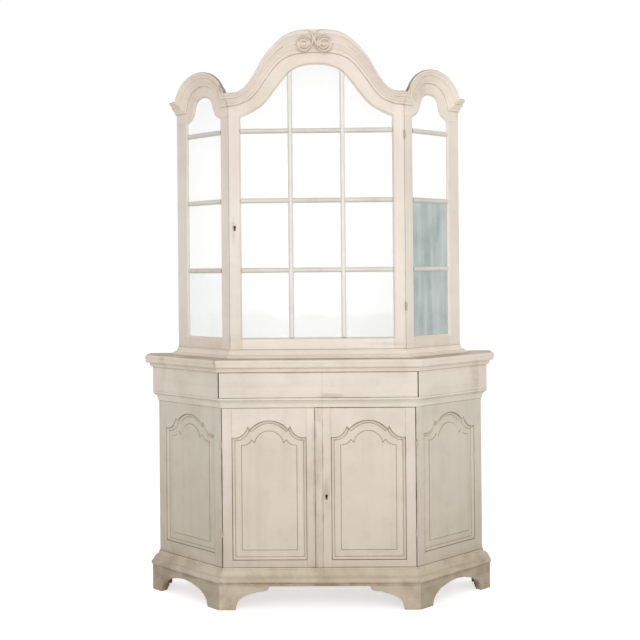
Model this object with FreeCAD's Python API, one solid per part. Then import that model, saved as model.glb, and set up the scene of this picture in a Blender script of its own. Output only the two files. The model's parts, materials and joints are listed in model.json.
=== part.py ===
# Painted display cabinet in two stages. The lower stage is a cupboard with two
# panelled doors and a drawer, and the upper stage is glazed, with one arched door.
# Both stages have a flat front between two cants. Millimetres, +Z up, front to -Y.
# The origin is on the floor, in the middle of the cabinet's width and depth.
import FreeCAD, Part
import math
import os

from FreeCAD import Vector

# Lower stage in plan
lower_half = 405.0          # half of the flat front
lower_cant = 307.0          # how far a cant goes back, and as far out
lower_depth = 404.0         # door faces to the back

# Upper stage in plan
upper_setback = 50.0        # its door face behind the lower doors
upper_half = 370.0
upper_cant = 251.0

# Heights of the lower stage, one on top of the other
foot_height = 110.0
base_height = 58.0
cupboard_height = 664.0
waist_height = 43.0
frieze_height = 107.0
bed_height = 19.0
slab_height = 34.0

# Heights of the upper stage, one on top of the other
upper_base_height = 35.0
upper_rail_height = 50.0    # rail under the panes
light_height = 928.0        # panes, up to where the arch starts
head_height = 46.0          # arch start to the lower edge of the cornice
cornice_height = 53.0       # band of the cornice at the corners

# Arches over the front
light_rise = 220.0
door_rise = 223.0
cornice_rise = 262.0

# Arches over the cants
side_light_rise = 102.0
side_band_rise = 106.0      # lower edge of the cornice over the cant
side_crown_rise = 108.0     # upper edge of the same band

# Thicknesses
wall = 24.0                 # door and cant frames, side boards
board = 18.0                # floors and the waist slab's core
sheet = 12.0                # back boards, roofs
panel_board = 8.0
glass = 3.0
shelf_glass = 8.0           # shelves of the upper stage

# Clearances
door_gap = 1.0              # at the two upright edges of a door
door_head_gap = 1.4         # over and under a cupboard door
glazed_head_gap = 0.7       # over and under the glazed door, at its face
glazed_back_gap = 2.0       # over it behind that lip, so that it clears the arch as it turns
meeting_gap = 3.0           # between the two cupboard doors
drawer_gap = 1.2            # under the drawer
drawer_head_gap = 0.6
drawer_end_gap = 4.0
running_gap = 0.2           # between pieces that slide on each other
pin_clearance = 0.05
overrun = 30.0              # how far a cutting solid goes past what it cuts

bevel = math.tan(math.radians(22.5))    # plan offset of a corner for each unit outwards
root_two = math.sqrt(2.0)

# Projections of the mouldings from the frames behind them
base_out = 36.0
foot_out = 32.0
waist_out = 25.0
bed_out = 38.0
slab_out = 57.0
upper_base_out = 30.0
cornice_out = 31.0

# Places that follow from these sizes
depth = lower_depth + slab_out
front = slab_out - depth / 2.0          # plane of the lower doors
back = depth / 2.0
upper_front = front + upper_setback
base_top = foot_height + base_height
cupboard_top = base_top + cupboard_height
waist_top = cupboard_top + waist_height
frieze_top = waist_top + frieze_height
slab_low = frieze_top + bed_height
slab_top = slab_low + slab_height
upper_floor = slab_top + upper_base_height
light_low = upper_floor + upper_rail_height
arch_start = light_low + light_height
cornice_low = arch_start + head_height
cornice_top = cornice_low + cornice_height
lower_length = lower_cant * root_two    # a cant's length along its face
upper_length = upper_cant * root_two
upper_depth = back - upper_front

parts = {}


def save(name, *shapes):
    """Keep the solids of these shapes as one named sub-part."""
    solids = [solid for shape in shapes for solid in shape.Solids]
    parts[name] = solids
    return Part.Compound(solids)


def box(x, y, z):
    """Box between two values on each axis, given as pairs."""
    lows = [min(pair) for pair in (x, y, z)]
    sizes = [abs(pair[1] - pair[0]) for pair in (x, y, z)]
    return Part.makeBox(*sizes, Vector(*lows))


def edges_through(points, place):
    """Edges through (u, v) points; a third value bows the edge by that share of its chord."""
    edges = []
    for start, end in zip(points, points[1:]):
        first = place(start[0], start[1])
        last = place(end[0], end[1])
        if len(end) == 2:
            edges.append(Part.LineSegment(first, last).toShape())
            continue
        across, up = end[0] - start[0], end[1] - start[1]
        middle = place((start[0] + end[0]) / 2.0 + end[2] * up,
                       (start[1] + end[1]) / 2.0 - end[2] * across)
        edges.append(Part.Arc(first, middle, last).toShape())
    return edges


def closed(points, place):
    """Closed wire through the points, ended by a straight edge."""
    return Part.Wire(edges_through(points + [points[0][:2]], place))


def slice_of(wire, direction):
    return Part.Face(wire).extrude(direction)


def upright(points, low, high):
    """Prism of a plan outline between two heights."""
    return slice_of(closed(points, lambda x, y: Vector(x, y, low)), Vector(0, 0, high - low))


def plate(points, near, far):
    """Prism of a front outline (x, z) between two depths."""
    return slice_of(closed(points, lambda x, z: Vector(x, near, z)), Vector(0, far - near, 0))


def mirrored(shape):
    return shape.mirror(Vector(0, 0, 0), Vector(1, 0, 0))


def both_sides(shape):
    return [mirrored(shape), shape]


def moved(shape, x, y, z):
    copy = shape.copy()
    copy.translate(Vector(x, y, z))
    return copy


def to_cant(shape, half, face):
    """Turn a shape built on a face in the plane y = 0 onto the right cant."""
    copy = shape.copy()
    copy.rotate(Vector(0, 0, 0), Vector(0, 0, 1), 45)
    copy.translate(Vector(half, face, 0))
    return copy


# Plans and mouldings that go round both cants

def corners(half, cant, face, out):
    """The six plan corners, from the left back to the right back, this far outside."""
    right = [(half + out * bevel, face - out),
             (half + cant + out, face + cant - out * bevel),
             (half + cant + out, back)]
    left = [(-x, y) for x, y in reversed(right)]
    return left + right


def lower_corners(out):
    return corners(lower_half, lower_cant, front, out)


def upper_corners(out):
    return corners(upper_half, upper_cant, upper_front, out)


def moulding(plan, profile):
    """Five mitred lengths of a (projection, height) profile round a plan."""
    def section(index):
        return closed(profile, lambda out, z: Vector(*plan(out)[index], z))
    sections = [section(index) for index in range(6)]
    return [Part.makeLoft([first, second], True, True)
            for first, second in zip(sections, sections[1:])]


def profile_line(shares, inner, outer, low, high):
    """A moulding's outer line, from shares of its projection and height, and its bows."""
    return [(inner + (outer - inner) * point[0], low + (high - low) * point[1], *point[2:])
            for point in shares]


def wall_run(plan, outer, inner, low, high, index):
    """One straight stretch of wall between two plan lines, mitred at its ends."""
    outside, inside = plan(outer), plan(inner)
    return upright([outside[index], outside[index + 1], inside[index + 1], inside[index]], low, high)


def cant_wall(plan, outer, inner, low, high):
    """Right cant wall whose front edge is square to the front, and mitred to the side."""
    outside, inside = plan(outer), plan(inner)
    edge_x, edge_y = outside[3]
    run = edge_x - inside[3][0]
    return upright([(edge_x, edge_y), outside[4], inside[4], (edge_x, inside[3][1] + run)], low, high)


# Arches over the front: shares of the half width and of the rise, from the corner to the crown

door_arch_shares = ((1.0, 0.0), (0.868, 0.04), (0.751, 0.13), (0.695, 0.215), (0.638, 0.336),
                    (0.581, 0.475), (0.522, 0.614), (0.465, 0.726), (0.408, 0.83),
                    (0.295, 0.94), (0.16, 0.99), (0.0, 1.0))
light_arch_shares = ((1.0, 0.0), (0.86, 0.09), (0.73, 0.2), (0.64, 0.33), (0.55, 0.5),
                     (0.46, 0.67), (0.38, 0.81), (0.29, 0.91), (0.16, 0.98), (0.0, 1.0))
cornice_arch_shares = ((1.0, 0.0), (0.882, 0.01), (0.827, 0.04), (0.772, 0.105), (0.718, 0.205),
                       (0.66, 0.345), (0.606, 0.488), (0.551, 0.61), (0.497, 0.705),
                       (0.442, 0.787), (0.36, 0.885), (0.278, 0.95), (0.169, 0.988), (0.0, 1.0))
arch_steps = 16             # stations along half an arch
side_steps = 20             # stations over a cant's arch


def rise_at(shares, across):
    """Height share of an arch at a share of its half width, smooth between the listed points."""
    table = [(place, rise) for place, rise in reversed(shares)]
    table = [(-table[1][0], table[1][1])] + table
    for index in range(1, len(table) - 1):
        if across <= table[index + 1][0]:
            break
    (x0, y0), (x1, y1), (x2, y2) = table[index - 1:index + 2]
    x3, y3 = table[index + 2] if index + 2 < len(table) else (x2 + x2 - x1, y2)
    span = x2 - x1
    share = (across - x1) / span
    slope1 = (y2 - y0) / (x2 - x0) * span
    slope2 = (y3 - y1) / (x3 - x1) * span
    square, cube = share * share, share ** 3
    return ((2 * cube - 3 * square + 1) * y1 + (cube - 2 * square + share) * slope1
            + (3 * square - 2 * cube) * y2 + (cube - square) * slope2)


def arch_places():
    return [index / arch_steps for index in range(-arch_steps, arch_steps + 1)]


def arch_line(shares, half, start, rise):
    """Points (x, z) of a whole arch from left to right."""
    return [(half * place, start + rise * rise_at(shares, abs(place))) for place in arch_places()]


def under_arch(line, low, near, far):
    """Solid under an arch line, down to a level, between two depths."""
    curve = Part.BSplineCurve()
    curve.interpolate([Vector(x, near, z) for x, z in line])
    (left, left_z), (right, right_z) = line[0], line[-1]
    corner_points = [(right, right_z), (right, low), (left, low), (left, left_z)]
    sides = edges_through(corner_points, lambda x, z: Vector(x, near, z))
    return slice_of(Part.Wire([curve.toShape()] + sides), Vector(0, far - near, 0))


def shifted(line, drop):
    return [(x, z - drop) for x, z in line]


# Raised panels: an arch between two ears, shares of the half width and of the rise
border_shares = {"flat": (0.87, 0.0), "ear": (0.574, 0.65), "notch": (0.502, 0.5)}
field_shares = {"flat": (0.96, 0.0), "ear": (0.636, 0.364), "notch": (0.52, 0.154)}
cove_share = -0.145         # bow of the cove between shoulder and ear, into the panel

panel_lap = 9.0             # what the frame's rebate holds of the panel
bead_width = 14.0
bead_depth = 10.0           # border's depth behind the frame's face
bead_top = 1.5
field_inset = 41.5
field_foot = 43.0           # the field's rise above the frame's lower edge
field_shoulder = 33.0
field_crown = 45.0
field_depth = 4.0
field_edge = 2.0            # step round the raised field


def panel_outline(shares, half, low, shoulder, top):
    """Outline of an opening or a field, symmetric about x = 0."""
    rise = top - shoulder
    flat, ear, notch = [(half * across, shoulder + rise * up)
                        for across, up in (shares["flat"], shares["ear"], shares["notch"])]
    across, up = notch[0] + notch[0], top - notch[1]
    crown_share = up / across
    right = [(half, low), (half, shoulder), flat, (*ear, cove_share), notch]
    left = [(-notch[0], notch[1], crown_share), (-ear[0], ear[1]),
            (-flat[0], flat[1], cove_share), (-half, shoulder), (-half, low)]
    return right + left


def panel_set(half, low, shoulder, top, face):
    """Opening tool, board, and planted bead of one raised panel on the plane y = face."""
    opening = panel_outline(border_shares, half, low, shoulder, top)
    border = panel_outline(border_shares, half - bead_width, low + bead_width,
                           shoulder - bead_width, top - bead_width)
    field = panel_outline(field_shares, half - field_inset, low + field_foot,
                          shoulder - field_shoulder, top - field_crown)

    def at(points, depth_in):
        return closed(points, lambda x, z: Vector(x, face + depth_in, z))
    seat = bead_depth + panel_board
    tool = slice_of(at(opening, -overrun), Vector(0, overrun + wall + overrun, 0))
    rebate = box((-half - panel_lap, half + panel_lap), (face + bead_depth, face + wall + overrun),
                 (low - panel_lap, top + panel_lap))
    board_back = box((-half - panel_lap, half + panel_lap), (face + bead_depth, face + seat),
                     (low - panel_lap, top + panel_lap))
    slope = Part.makeLoft([at(border, bead_depth), at(field, field_depth + field_edge)], True, True)
    raised = slice_of(at(field, field_depth), Vector(0, field_edge, 0))
    panel = board_back.fuse([slope, raised]).removeSplitter()
    outer = slice_of(at(opening, bead_top), Vector(0, bead_depth - bead_top, 0))
    inner = Part.makeLoft([at(border, bead_depth), at(panel_outline(
        border_shares, half - bead_top, low + bead_top, shoulder - bead_top, top - bead_top),
        bead_top)], True, True)
    return tool.fuse(rebate), panel, outer.cut(inner)


# Feet and plinth

foot_width = 69.0           # front foot along the floor, from its corner
bracket_reach = 210.0
apron_drop = 12.0           # plinth seen under the base moulding between the brackets
plinth_board = 22.0
side_foot_width = 76.0      # foot beside the corner, on the cant
outer_foot_width = 62.0
side_arch_height = 84.0
block_size = 44.0
block_gap = 1.0             # blocks end just above the floor

# Front bracket from the foot to its tip: shares of the reach past the foot, and of the height
bracket_shares = ((0.0, 0.0), (0.02, 0.2), (0.07, 0.36), (0.13, 0.46), (0.26, 0.58), (0.42, 0.67),
                  (0.58, 0.72), (0.64, 0.765), (0.84, 0.785), (0.94, 0.84), (0.98, 0.91), (1.0, 1.0))
# Half of the cant's arch, from the foot to its middle: shares of the half width and the height
side_arch_shares = ((1.0, 0.0), (0.965, 0.32), (0.87, 0.52), (0.7, 0.74), (0.52, 0.84),
                    (0.28, 0.95), (0.0, 1.0))

plinth_face = front - foot_out
plinth_corner = lower_half + foot_out * bevel
apron_low = foot_height - apron_drop
mitre_cut = [(plinth_corner, plinth_face), (0, plinth_face), (0, plinth_face + plinth_board),
             (plinth_corner - plinth_board * bevel, plinth_face + plinth_board)]
bracket_span = bracket_reach - foot_width
bracket_curve = [(plinth_corner - foot_width - bracket_span * across, apron_low * up)
                 for across, up in bracket_shares]
bracket_tip = plinth_corner - bracket_reach
bracket = plate(bracket_curve + [(bracket_tip, foot_height), (plinth_corner, foot_height),
                                 (plinth_corner, 0)], plinth_face, plinth_face + plinth_board)
bracket = bracket.common(upright(mitre_cut, 0, foot_height))
front_apron = box((-bracket_tip, bracket_tip), (plinth_face, plinth_face + plinth_board),
                  (apron_low, foot_height))
save("front_plinth", front_apron, *both_sides(bracket))

# A cant's plinth is built flat on y = 0, with x from the front corner of the plinth's face
plinth_length = lower_length + foot_out * bevel + foot_out * bevel
arch_half = (plinth_length - side_foot_width - outer_foot_width) / 2.0
arch_middle = side_foot_width + arch_half


def side_foot(direction, end):
    """Foot and half arch on one side of the cant's middle."""
    curve = [(arch_middle + direction * arch_half * across, side_arch_height * up)
             for across, up in side_arch_shares]
    return plate(curve + [(arch_middle, foot_height), (end, foot_height), (end, 0)],
                 0, plinth_board)


plinth_plan = upright([(0, 0), (plinth_length, 0), (plinth_length - plinth_board * bevel, plinth_board),
                       (plinth_board * bevel, plinth_board)], 0, foot_height)
cant_feet = [to_cant(foot.common(plinth_plan), plinth_corner, plinth_face)
             for foot in (side_foot(-1, 0), side_foot(1, plinth_length))]
side_plinth = wall_run(lower_corners, foot_out, foot_out - plinth_board, 0, foot_height, 4)
save("side_plinths", *[shape for foot in cant_feet + [side_plinth] for shape in both_sides(foot)])

inner_x = lower_corners(foot_out - plinth_board)[5][0]
back_foot = 48.0
back_board = box((-inner_x, inner_x), (back - plinth_board, back), (apron_low, foot_height))
back_leg = box((inner_x - back_foot, inner_x), (back - plinth_board, back), (0, apron_low))
save("back_plinth", back_board, *both_sides(back_leg))

block_low = block_gap
block_high = foot_height
inside_foot = lower_corners(foot_out - plinth_board)
front_block = upright([inside_foot[3], (inside_foot[3][0] - block_size, inside_foot[3][1]),
                       (inside_foot[3][0] - block_size, inside_foot[3][1] + block_size),
                       (inside_foot[3][0] + block_size, inside_foot[3][1] + block_size)],
                      block_low, block_high)
outer_block = upright([inside_foot[4], (inside_foot[4][0], inside_foot[4][1] + block_size),
                       (inside_foot[4][0] - block_size, inside_foot[4][1] + block_size),
                       (inside_foot[4][0] - block_size, inside_foot[4][1] - block_size)],
                      block_low, block_high)
save("foot_blocks", *both_sides(front_block), *both_sides(outer_block))

# Base moulding, whose inner step carries the floor

step_in = 20.0
floor_low = base_top - board
base_shares = ((1.0, 0.1, 0.2), (0.94, 0.3, 0.2), (0.72, 0.38), (0.2, 0.8, -0.18), (0.12, 1.0))
base_profile = ([(-step_in, foot_height), (foot_out, foot_height)]
                + profile_line(base_shares, 0, base_out, foot_height, base_top)
                + [(0, base_top), (0, floor_low), (-step_in, floor_low)])
save("base_moulding", *moulding(lower_corners, base_profile))
save("cupboard_floor", upright(lower_corners(0), floor_low, base_top))

# Cants of the lower stage

lower_stile = 48.0
cant_panel_low = 52.0       # rail under the panel
cant_shoulder = 116.0       # shoulders of a cant's panel under the cupboard's top
cant_crown = 42.0           # its crown under the same level

cant_frame = cant_wall(lower_corners, 0, -wall, base_top, cupboard_top)
cant_half = lower_length / 2.0 - lower_stile
cant_shoulder_z = cupboard_top - cant_shoulder
cant_tool, cant_panel, cant_bead = [to_cant(moved(shape, lower_length / 2.0, 0, 0), lower_half, front)
                                    for shape in panel_set(cant_half, base_top + cant_panel_low,
                                                           cant_shoulder_z, cupboard_top - cant_crown, 0)]
cant_frame = cant_frame.cut(cant_tool)


def cant_piece(frame, half, face, start, end, low, high):
    """What a frame on the right cant holds between two places along it and two heights."""
    cutter = box((start, end), (-overrun, wall + overrun), (low, high))
    return frame.common(to_cant(cutter, half, face))


stile_end = lower_length - lower_stile
post_size = 36.0
post_plan = [(wall, wall), (wall + post_size, wall), (wall + post_size, wall + post_size),
             (wall, wall + post_size)]
lower_post = to_cant(upright(post_plan, base_top, slab_low), lower_half, front)

leaf_length = 36.0
leaf_thickness = 1.6
leaf_depth = 18.0
knuckle_radius = 4.5
pin_radius = 2.0
pin_reach = 14.0
pivot_side = 2.0            # pin outside the corner's plane
pivot_front = 5.0           # pin in front of the door's face
knuckle_gap = 0.2


def hinge(half, face, middle):
    """Case leaf with its pin, door leaf, and both mortises, for a door hung on its right."""
    pin_x, pin_y = half + pivot_side, face - pivot_front
    low, high = middle - leaf_length / 2.0, middle + leaf_length / 2.0
    neck = face + knuckle_gap + knuckle_gap
    case_x = (half, half + leaf_thickness)
    door_x = (half - door_gap - leaf_thickness, half - door_gap)
    leaf_y = (neck, face + leaf_depth)

    def leaf(x_pair, neck_low, neck_high):
        body = box(x_pair, leaf_y, (low, high))
        barrel = Part.makeCylinder(knuckle_radius, neck_high - neck_low, Vector(pin_x, pin_y, neck_low))
        return body.fuse([box(x_pair, (pin_y, neck), (neck_low, neck_high)), barrel]).removeSplitter()
    pin = Part.makeCylinder(pin_radius, pin_reach, Vector(pin_x, pin_y, middle - knuckle_gap))
    bore = Part.makeCylinder(pin_radius + pin_clearance, leaf_length, Vector(pin_x, pin_y, middle))
    case_leaf = leaf(case_x, low, middle - knuckle_gap).fuse(pin).removeSplitter()
    door_leaf = leaf(door_x, middle, high).cut(bore)
    mortises = [box(x_pair, (face - overrun, face + leaf_depth), (low, high))
                for x_pair in (case_x, door_x)]
    return case_leaf, door_leaf, mortises[0], mortises[1]


hinge_down = 153.0          # cupboard hinges under the top and over the foot of the doors
hinge_up = 143.0
cupboard_hinges = [hinge(lower_half, front, level)
                   for level in (base_top + hinge_up, cupboard_top - hinge_down)]
for case_leaf, door_leaf, case_mortise, door_mortise in cupboard_hinges:
    cant_frame = cant_frame.cut(case_mortise)

lower_frames = [cant_piece(cant_frame, lower_half, front, *piece) for piece in (
    (-overrun, lower_stile, base_top, cupboard_top),
    (stile_end, lower_length + overrun, base_top, cupboard_top),
    (lower_stile, stile_end, base_top, base_top + cant_panel_low),
    (lower_stile, stile_end, cant_shoulder_z, cupboard_top))]
save("lower_cant_frames", *[shape for piece in lower_frames for shape in both_sides(piece)])
save("lower_cant_panels", *both_sides(cant_panel), *both_sides(cant_bead))
save("lower_posts", *both_sides(lower_post))
save("lower_sides", *both_sides(wall_run(lower_corners, 0, -wall, base_top, cupboard_top, 4)))

# Stops that the cupboard doors close against

stop_width = 12.0
stop_gap = 0.5
stop_depth = wall * root_two
lower_stop = box((lower_half - stop_width, lower_half), (front + wall + stop_gap, front + stop_depth),
                 (base_top, cupboard_top))
head_stop = box((-lower_half + stop_width, lower_half - stop_width),
                (front + wall + stop_gap, front + stop_depth),
                (cupboard_top - stop_width, cupboard_top))

# Cupboard back and shelf

lower_inside = lower_half + lower_cant - wall
back_boards = 4


def board_row(solid, left, right, count):
    """Cut a wide panel into as many upright boards."""
    step = (right - left) / count
    return [solid.common(box((left + step * index, left + step * (index + 1)),
                             (back - overrun, back + overrun), (0, cornice_top + cornice_rise)))
            for index in range(count)]


lower_back = box((-lower_inside, lower_inside), (back - sheet, back), (base_top, slab_low))
save("lower_back", *board_row(lower_back, -lower_inside, lower_inside, back_boards))

lock_height = 60.0
lower_key_up = 297.0        # keyhole over the foot of the cupboard
shelf_over_lock = 5.0
lower_key_z = base_top + lower_key_up
shelf_back = back - sheet
shelf_front = front + stop_depth + running_gap
shelf_low = lower_key_z + lock_height / 2.0 + shelf_over_lock
shelf_plan = upright(lower_corners(-wall), shelf_low, shelf_low + board)
shelf_plan = shelf_plan.common(box((-lower_inside, lower_inside), (shelf_front, shelf_back),
                                   (shelf_low, shelf_low + board)))
save("cupboard_shelf", shelf_plan.cut(both_sides(lower_post)))

cleat = 20.0
cleat_z = (shelf_low - cleat, shelf_low)
side_cleat = box((lower_inside - cleat, lower_inside), (front + lower_cant + cleat, shelf_back), cleat_z)
back_cleat = box((-lower_inside + cleat, lower_inside - cleat), (shelf_back - cleat, shelf_back), cleat_z)
save("shelf_cleats", *both_sides(side_cleat), back_cleat)

# Waist: moulding that flares out to the frieze, and the board that the drawer slides on

dust_low = waist_top - sheet
waist_shares = ((0.0, 0.0), (0.14, 0.03), (0.2, 0.13), (0.82, 0.7, -0.14), (0.78, 0.77), (1.0, 0.79),
                (1.0, 0.94), (0.95, 1.0))
waist_profile = ([(-wall, cupboard_top)]
                 + profile_line(waist_shares, 0, waist_out, cupboard_top, waist_top)
                 + [(-wall, waist_top)])
save("waist_moulding", *moulding(lower_corners, waist_profile))
dust_board = upright(lower_corners(-wall), dust_low, waist_top)
dust_board = dust_board.common(box((-lower_inside, lower_inside), (front, shelf_back),
                                   (dust_low, waist_top)))
save("dust_board", dust_board.cut(both_sides(lower_post)))

# Frieze on the cants and sides, and the drawer between them

frieze_board = 22.0
frieze_in = waist_out - frieze_board
cant_frieze = cant_wall(lower_corners, waist_out, frieze_in, waist_top, frieze_top)
side_frieze = wall_run(lower_corners, waist_out, frieze_in, waist_top, frieze_top, 4)
save("frieze_boards", *both_sides(cant_frieze), *both_sides(side_frieze))

drawer_half = lower_corners(waist_out)[3][0] - drawer_end_gap
drawer_face = front - waist_out
box_inset = 27.0            # sides of its box inside the corners of the front
box_length = 322.0
box_height = 84.0
box_side = 12.0
box_floor = 7.0
groove_up = 8.0
box_half = lower_half - box_inset
box_front = drawer_face + frieze_board
box_low = waist_top + running_gap
box_y = (box_front, box_front + box_length)
front_lip = 1.5
drawer_front = box((-drawer_half, drawer_half), (drawer_face, box_front),
                   (waist_top + drawer_gap, frieze_top - drawer_head_gap))
face_edges = [edge for edge in drawer_front.Edges
              if abs(edge.CenterOfMass.y - drawer_face) < running_gap]
drawer_front = drawer_front.makeChamfer(front_lip, face_edges)
save("drawer_front", drawer_front)
drawer_floor = box((-box_half + box_side / 2.0, box_half - box_side / 2.0),
                   (box_front, box_y[1] - box_side / 2.0),
                   (box_low + groove_up, box_low + groove_up + box_floor))
drawer_side = box((box_half - box_side, box_half), box_y, (box_low, box_low + box_height))
drawer_back = box((-box_half + box_side, box_half - box_side), (box_y[1] - box_side, box_y[1]),
                  (box_low, box_low + box_height))
save("drawer_box", *[side.cut(drawer_floor) for side in both_sides(drawer_side) + [drawer_back]])
save("drawer_bottom", drawer_floor)

guide_width = 14.0
guide_height = 20.0
guide_x = (box_half + running_gap, box_half + running_gap + guide_width)
drawer_guide = box(guide_x, (front + stop_depth + post_size, shelf_back),
                   (waist_top, waist_top + guide_height))
save("drawer_guides", *[guide.cut(both_sides(lower_post)) for guide in both_sides(drawer_guide)])

# Bed moulding and slab

bed_shares = ((0.0, 0.0), (0.3, 0.04), (0.88, 0.3, 0.2), (0.88, 0.42), (1.0, 0.48), (1.0, 1.0))
bed_profile = ([(-wall, frieze_top)]
               + profile_line(bed_shares, waist_out, bed_out, frieze_top, slab_low)
               + [(-wall, slab_low)])
save("bed_moulding", *moulding(lower_corners, bed_profile))
slab_core = 24.0            # the core board goes this far over the frames
nose_shares = ((0.5, 0.0), (0.9, 0.22, 0.12), (0.9, 0.56), (0.97, 0.58), (1.0, 0.76, 0.08),
               (0.7, 1.0, 0.16))
nose_profile = ([(slab_core, slab_low)]
                + profile_line(nose_shares, bed_out, slab_out, slab_low, slab_top)
                + [(slab_core, slab_top)])
save("slab_edging", *moulding(lower_corners, nose_profile))
save("waist_slab", upright(lower_corners(slab_core), slab_low, slab_top))

# Upper stage: base moulding, floor

upper_step = 20.0
upper_board = 18.0
upper_floor_low = upper_floor - upper_board
upper_base_shares = ((1.0, 0.0), (1.0, 0.23), (0.84, 0.25), (0.78, 0.33), (0.2, 0.74, -0.16), (0.12, 0.82),
                     (0.12, 1.0))
upper_profile = ([(-upper_step, slab_top)]
                 + profile_line(upper_base_shares, 0, upper_base_out, slab_top, upper_floor)
                 + [(0, upper_floor), (0, upper_floor_low), (-upper_step, upper_floor_low)])
save("upper_base_moulding", *moulding(upper_corners, upper_profile))
save("display_floor", upright(upper_corners(0), upper_floor_low, upper_floor))

# Cants of the upper stage, with their glazed lights

inner_stile = 57.0
outer_stile = 72.0
stile_width = 50.0          # door stiles
bar_width = 20.0
bar_face = 8.0              # flat on the front of a glazing bar
bar_depth = 17.0
pane_depth = 9.0            # panes behind the frame's face
sticking = 7.0              # slope round each light
row_first = 284.0           # first bar over the foot of the panes
row_pitch = 293.0
row_count = 3
row_levels = [light_low + row_first + row_pitch * index for index in range(row_count)]

side_light_half = (upper_length - inner_stile - outer_stile) / 2.0
side_light_middle = inner_stile + side_light_half
side_light_shares = ((1.0, 0.0), (0.83, 0.08), (0.66, 0.22), (0.54, 0.5), (0.46, 0.76),
                     (0.27, 0.94), (0.0, 1.0))

side_band_middle = 168.0    # along the cant, middle of the lower edge of its cornice
side_band_half = 116.0
side_crown_middle = 163.0
side_crown_half = 165.0
side_crown_sink = 37.0      # the upper curve's centre under the cornice's top
crown_angle = 15.0          # where the upper curve meets the cornice's top line


def light_line(widen):
    return arch_line(light_arch_shares, upper_half - stile_width - door_gap + widen,
                     arch_start + widen, light_rise)


def side_light_line(widen):
    return [(side_light_middle + x, z) for x, z in
            arch_line(side_light_shares, side_light_half + widen, arch_start + widen, side_light_rise)]


def side_band_points():
    """Pairs of points, on the lower and the upper edge of the cornice over the cant."""
    crown_height = side_crown_rise + side_crown_sink
    pairs = []
    for index in range(side_steps + 1):
        low_turn = math.radians(180.0 - 180.0 * index / side_steps)
        top_turn = math.radians(180.0 - crown_angle - (180.0 - 2 * crown_angle) * index / side_steps)
        pairs.append(((side_band_middle + side_band_half * math.cos(low_turn),
                       cornice_low + side_band_rise * math.sin(low_turn)),
                      (side_crown_middle + side_crown_half * math.cos(top_turn),
                       cornice_top - side_crown_sink + crown_height * math.sin(top_turn))))
    return pairs


def light_tool(line, wide_line, low):
    """Cutting solid of a light, with a slope round it on the face at y = 0."""
    straight = under_arch(line, low, -overrun, wall + overrun)

    def edge(points, foot, depth_in):
        curve = Part.BSplineCurve()
        curve.interpolate([Vector(x, depth_in, z) for x, z in points])
        (left, left_z), (right, right_z) = points[0], points[-1]
        rest = edges_through([(right, right_z), (right, foot), (left, foot), (left, left_z)],
                             lambda x, z: Vector(x, depth_in, z))
        return Part.Wire([curve.toShape()] + rest)
    slope = Part.makeLoft([edge(wide_line, low - sticking, 0), edge(line, low, sticking)], True, True)
    return straight.fuse(slope)


def bar_section(along_z, middle, start, end):
    """Glazing bar with a narrow face, upright or level, on the plane y = 0."""
    half, flat = bar_width / 2.0, bar_face / 2.0
    section = [(-half, sticking), (-flat, 0), (flat, 0), (half, sticking), (half, bar_depth),
               (-half, bar_depth)]
    if along_z:
        wire = closed(section, lambda u, v: Vector(middle + u, v, start))
        return slice_of(wire, Vector(0, 0, end - start))
    wire = closed(section, lambda u, v: Vector(start, v, middle + u))
    return slice_of(wire, Vector(end - start, 0, 0))


band = side_band_points()
head_share = 0.55           # how far up the cornice the head behind it goes
head_edge = [(low_x + (top_x - low_x) * head_share, max(cornice_top, low_z + (top_z - low_z) * head_share))
             for (low_x, low_z), (top_x, top_z) in band]
head_edge = [(0, cornice_top)] + head_edge + [(upper_length, cornice_top)]
cant_plan = upright([(0, 0), (upper_length, 0), (upper_length - wall * bevel, wall), (wall, wall)],
                    upper_floor, cornice_top + cornice_rise)
cant_front = plate([(0, upper_floor)] + head_edge + [(upper_length, upper_floor)], 0, wall)
side_tool = light_tool(side_light_line(0), side_light_line(sticking), light_low)
upper_frame = to_cant(cant_front.common(cant_plan).cut(side_tool), upper_half, upper_front)

upper_hinge_low = 180.0     # over the foot and under the shoulder of the door
upper_hinge_high = 124.0
door_hinges = [hinge(upper_half, upper_front, level)
               for level in (upper_floor + upper_hinge_low, cornice_low - upper_hinge_high)]
hung_frame = upper_frame
for case_leaf, door_leaf, case_mortise, door_mortise in door_hinges:
    hung_frame = hung_frame.cut(case_mortise)

frame_cuts = {
    "upper_posts": [(-overrun, inner_stile, upper_floor, arch_start),
                    (upper_length - outer_stile, upper_length + overrun, upper_floor, arch_start)],
    "upper_cant_rails": [(inner_stile, upper_length - outer_stile, upper_floor, light_low)],
    "upper_cant_heads": [(-overrun, upper_length + overrun, arch_start, cornice_top + cornice_rise)]}
for name, places in frame_cuts.items():
    right_pieces = [cant_piece(hung_frame, upper_half, upper_front, *place) for place in places]
    left_pieces = [mirrored(cant_piece(upper_frame, upper_half, upper_front, *place)) for place in places]
    save(name, *left_pieces, *right_pieces)

side_light = under_arch(side_light_line(0), light_low, 0, wall)
side_bars = [bar_section(False, level, inner_stile, upper_length - outer_stile)
             for level in row_levels]
side_bars = [bar.common(side_light) for bar in side_bars]
side_panes = under_arch(side_light_line(0), light_low, pane_depth, pane_depth + glass).cut(side_bars)
save("cant_glazing_bars", *[shape for bar in side_bars
                            for shape in both_sides(to_cant(bar, upper_half, upper_front))])
save("cant_panes", *both_sides(to_cant(side_panes, upper_half, upper_front)))

save("upper_sides", *both_sides(wall_run(upper_corners, 0, -wall, upper_floor, cornice_top, 4)))

# Arched head over the door, and the stops that it closes against

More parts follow.
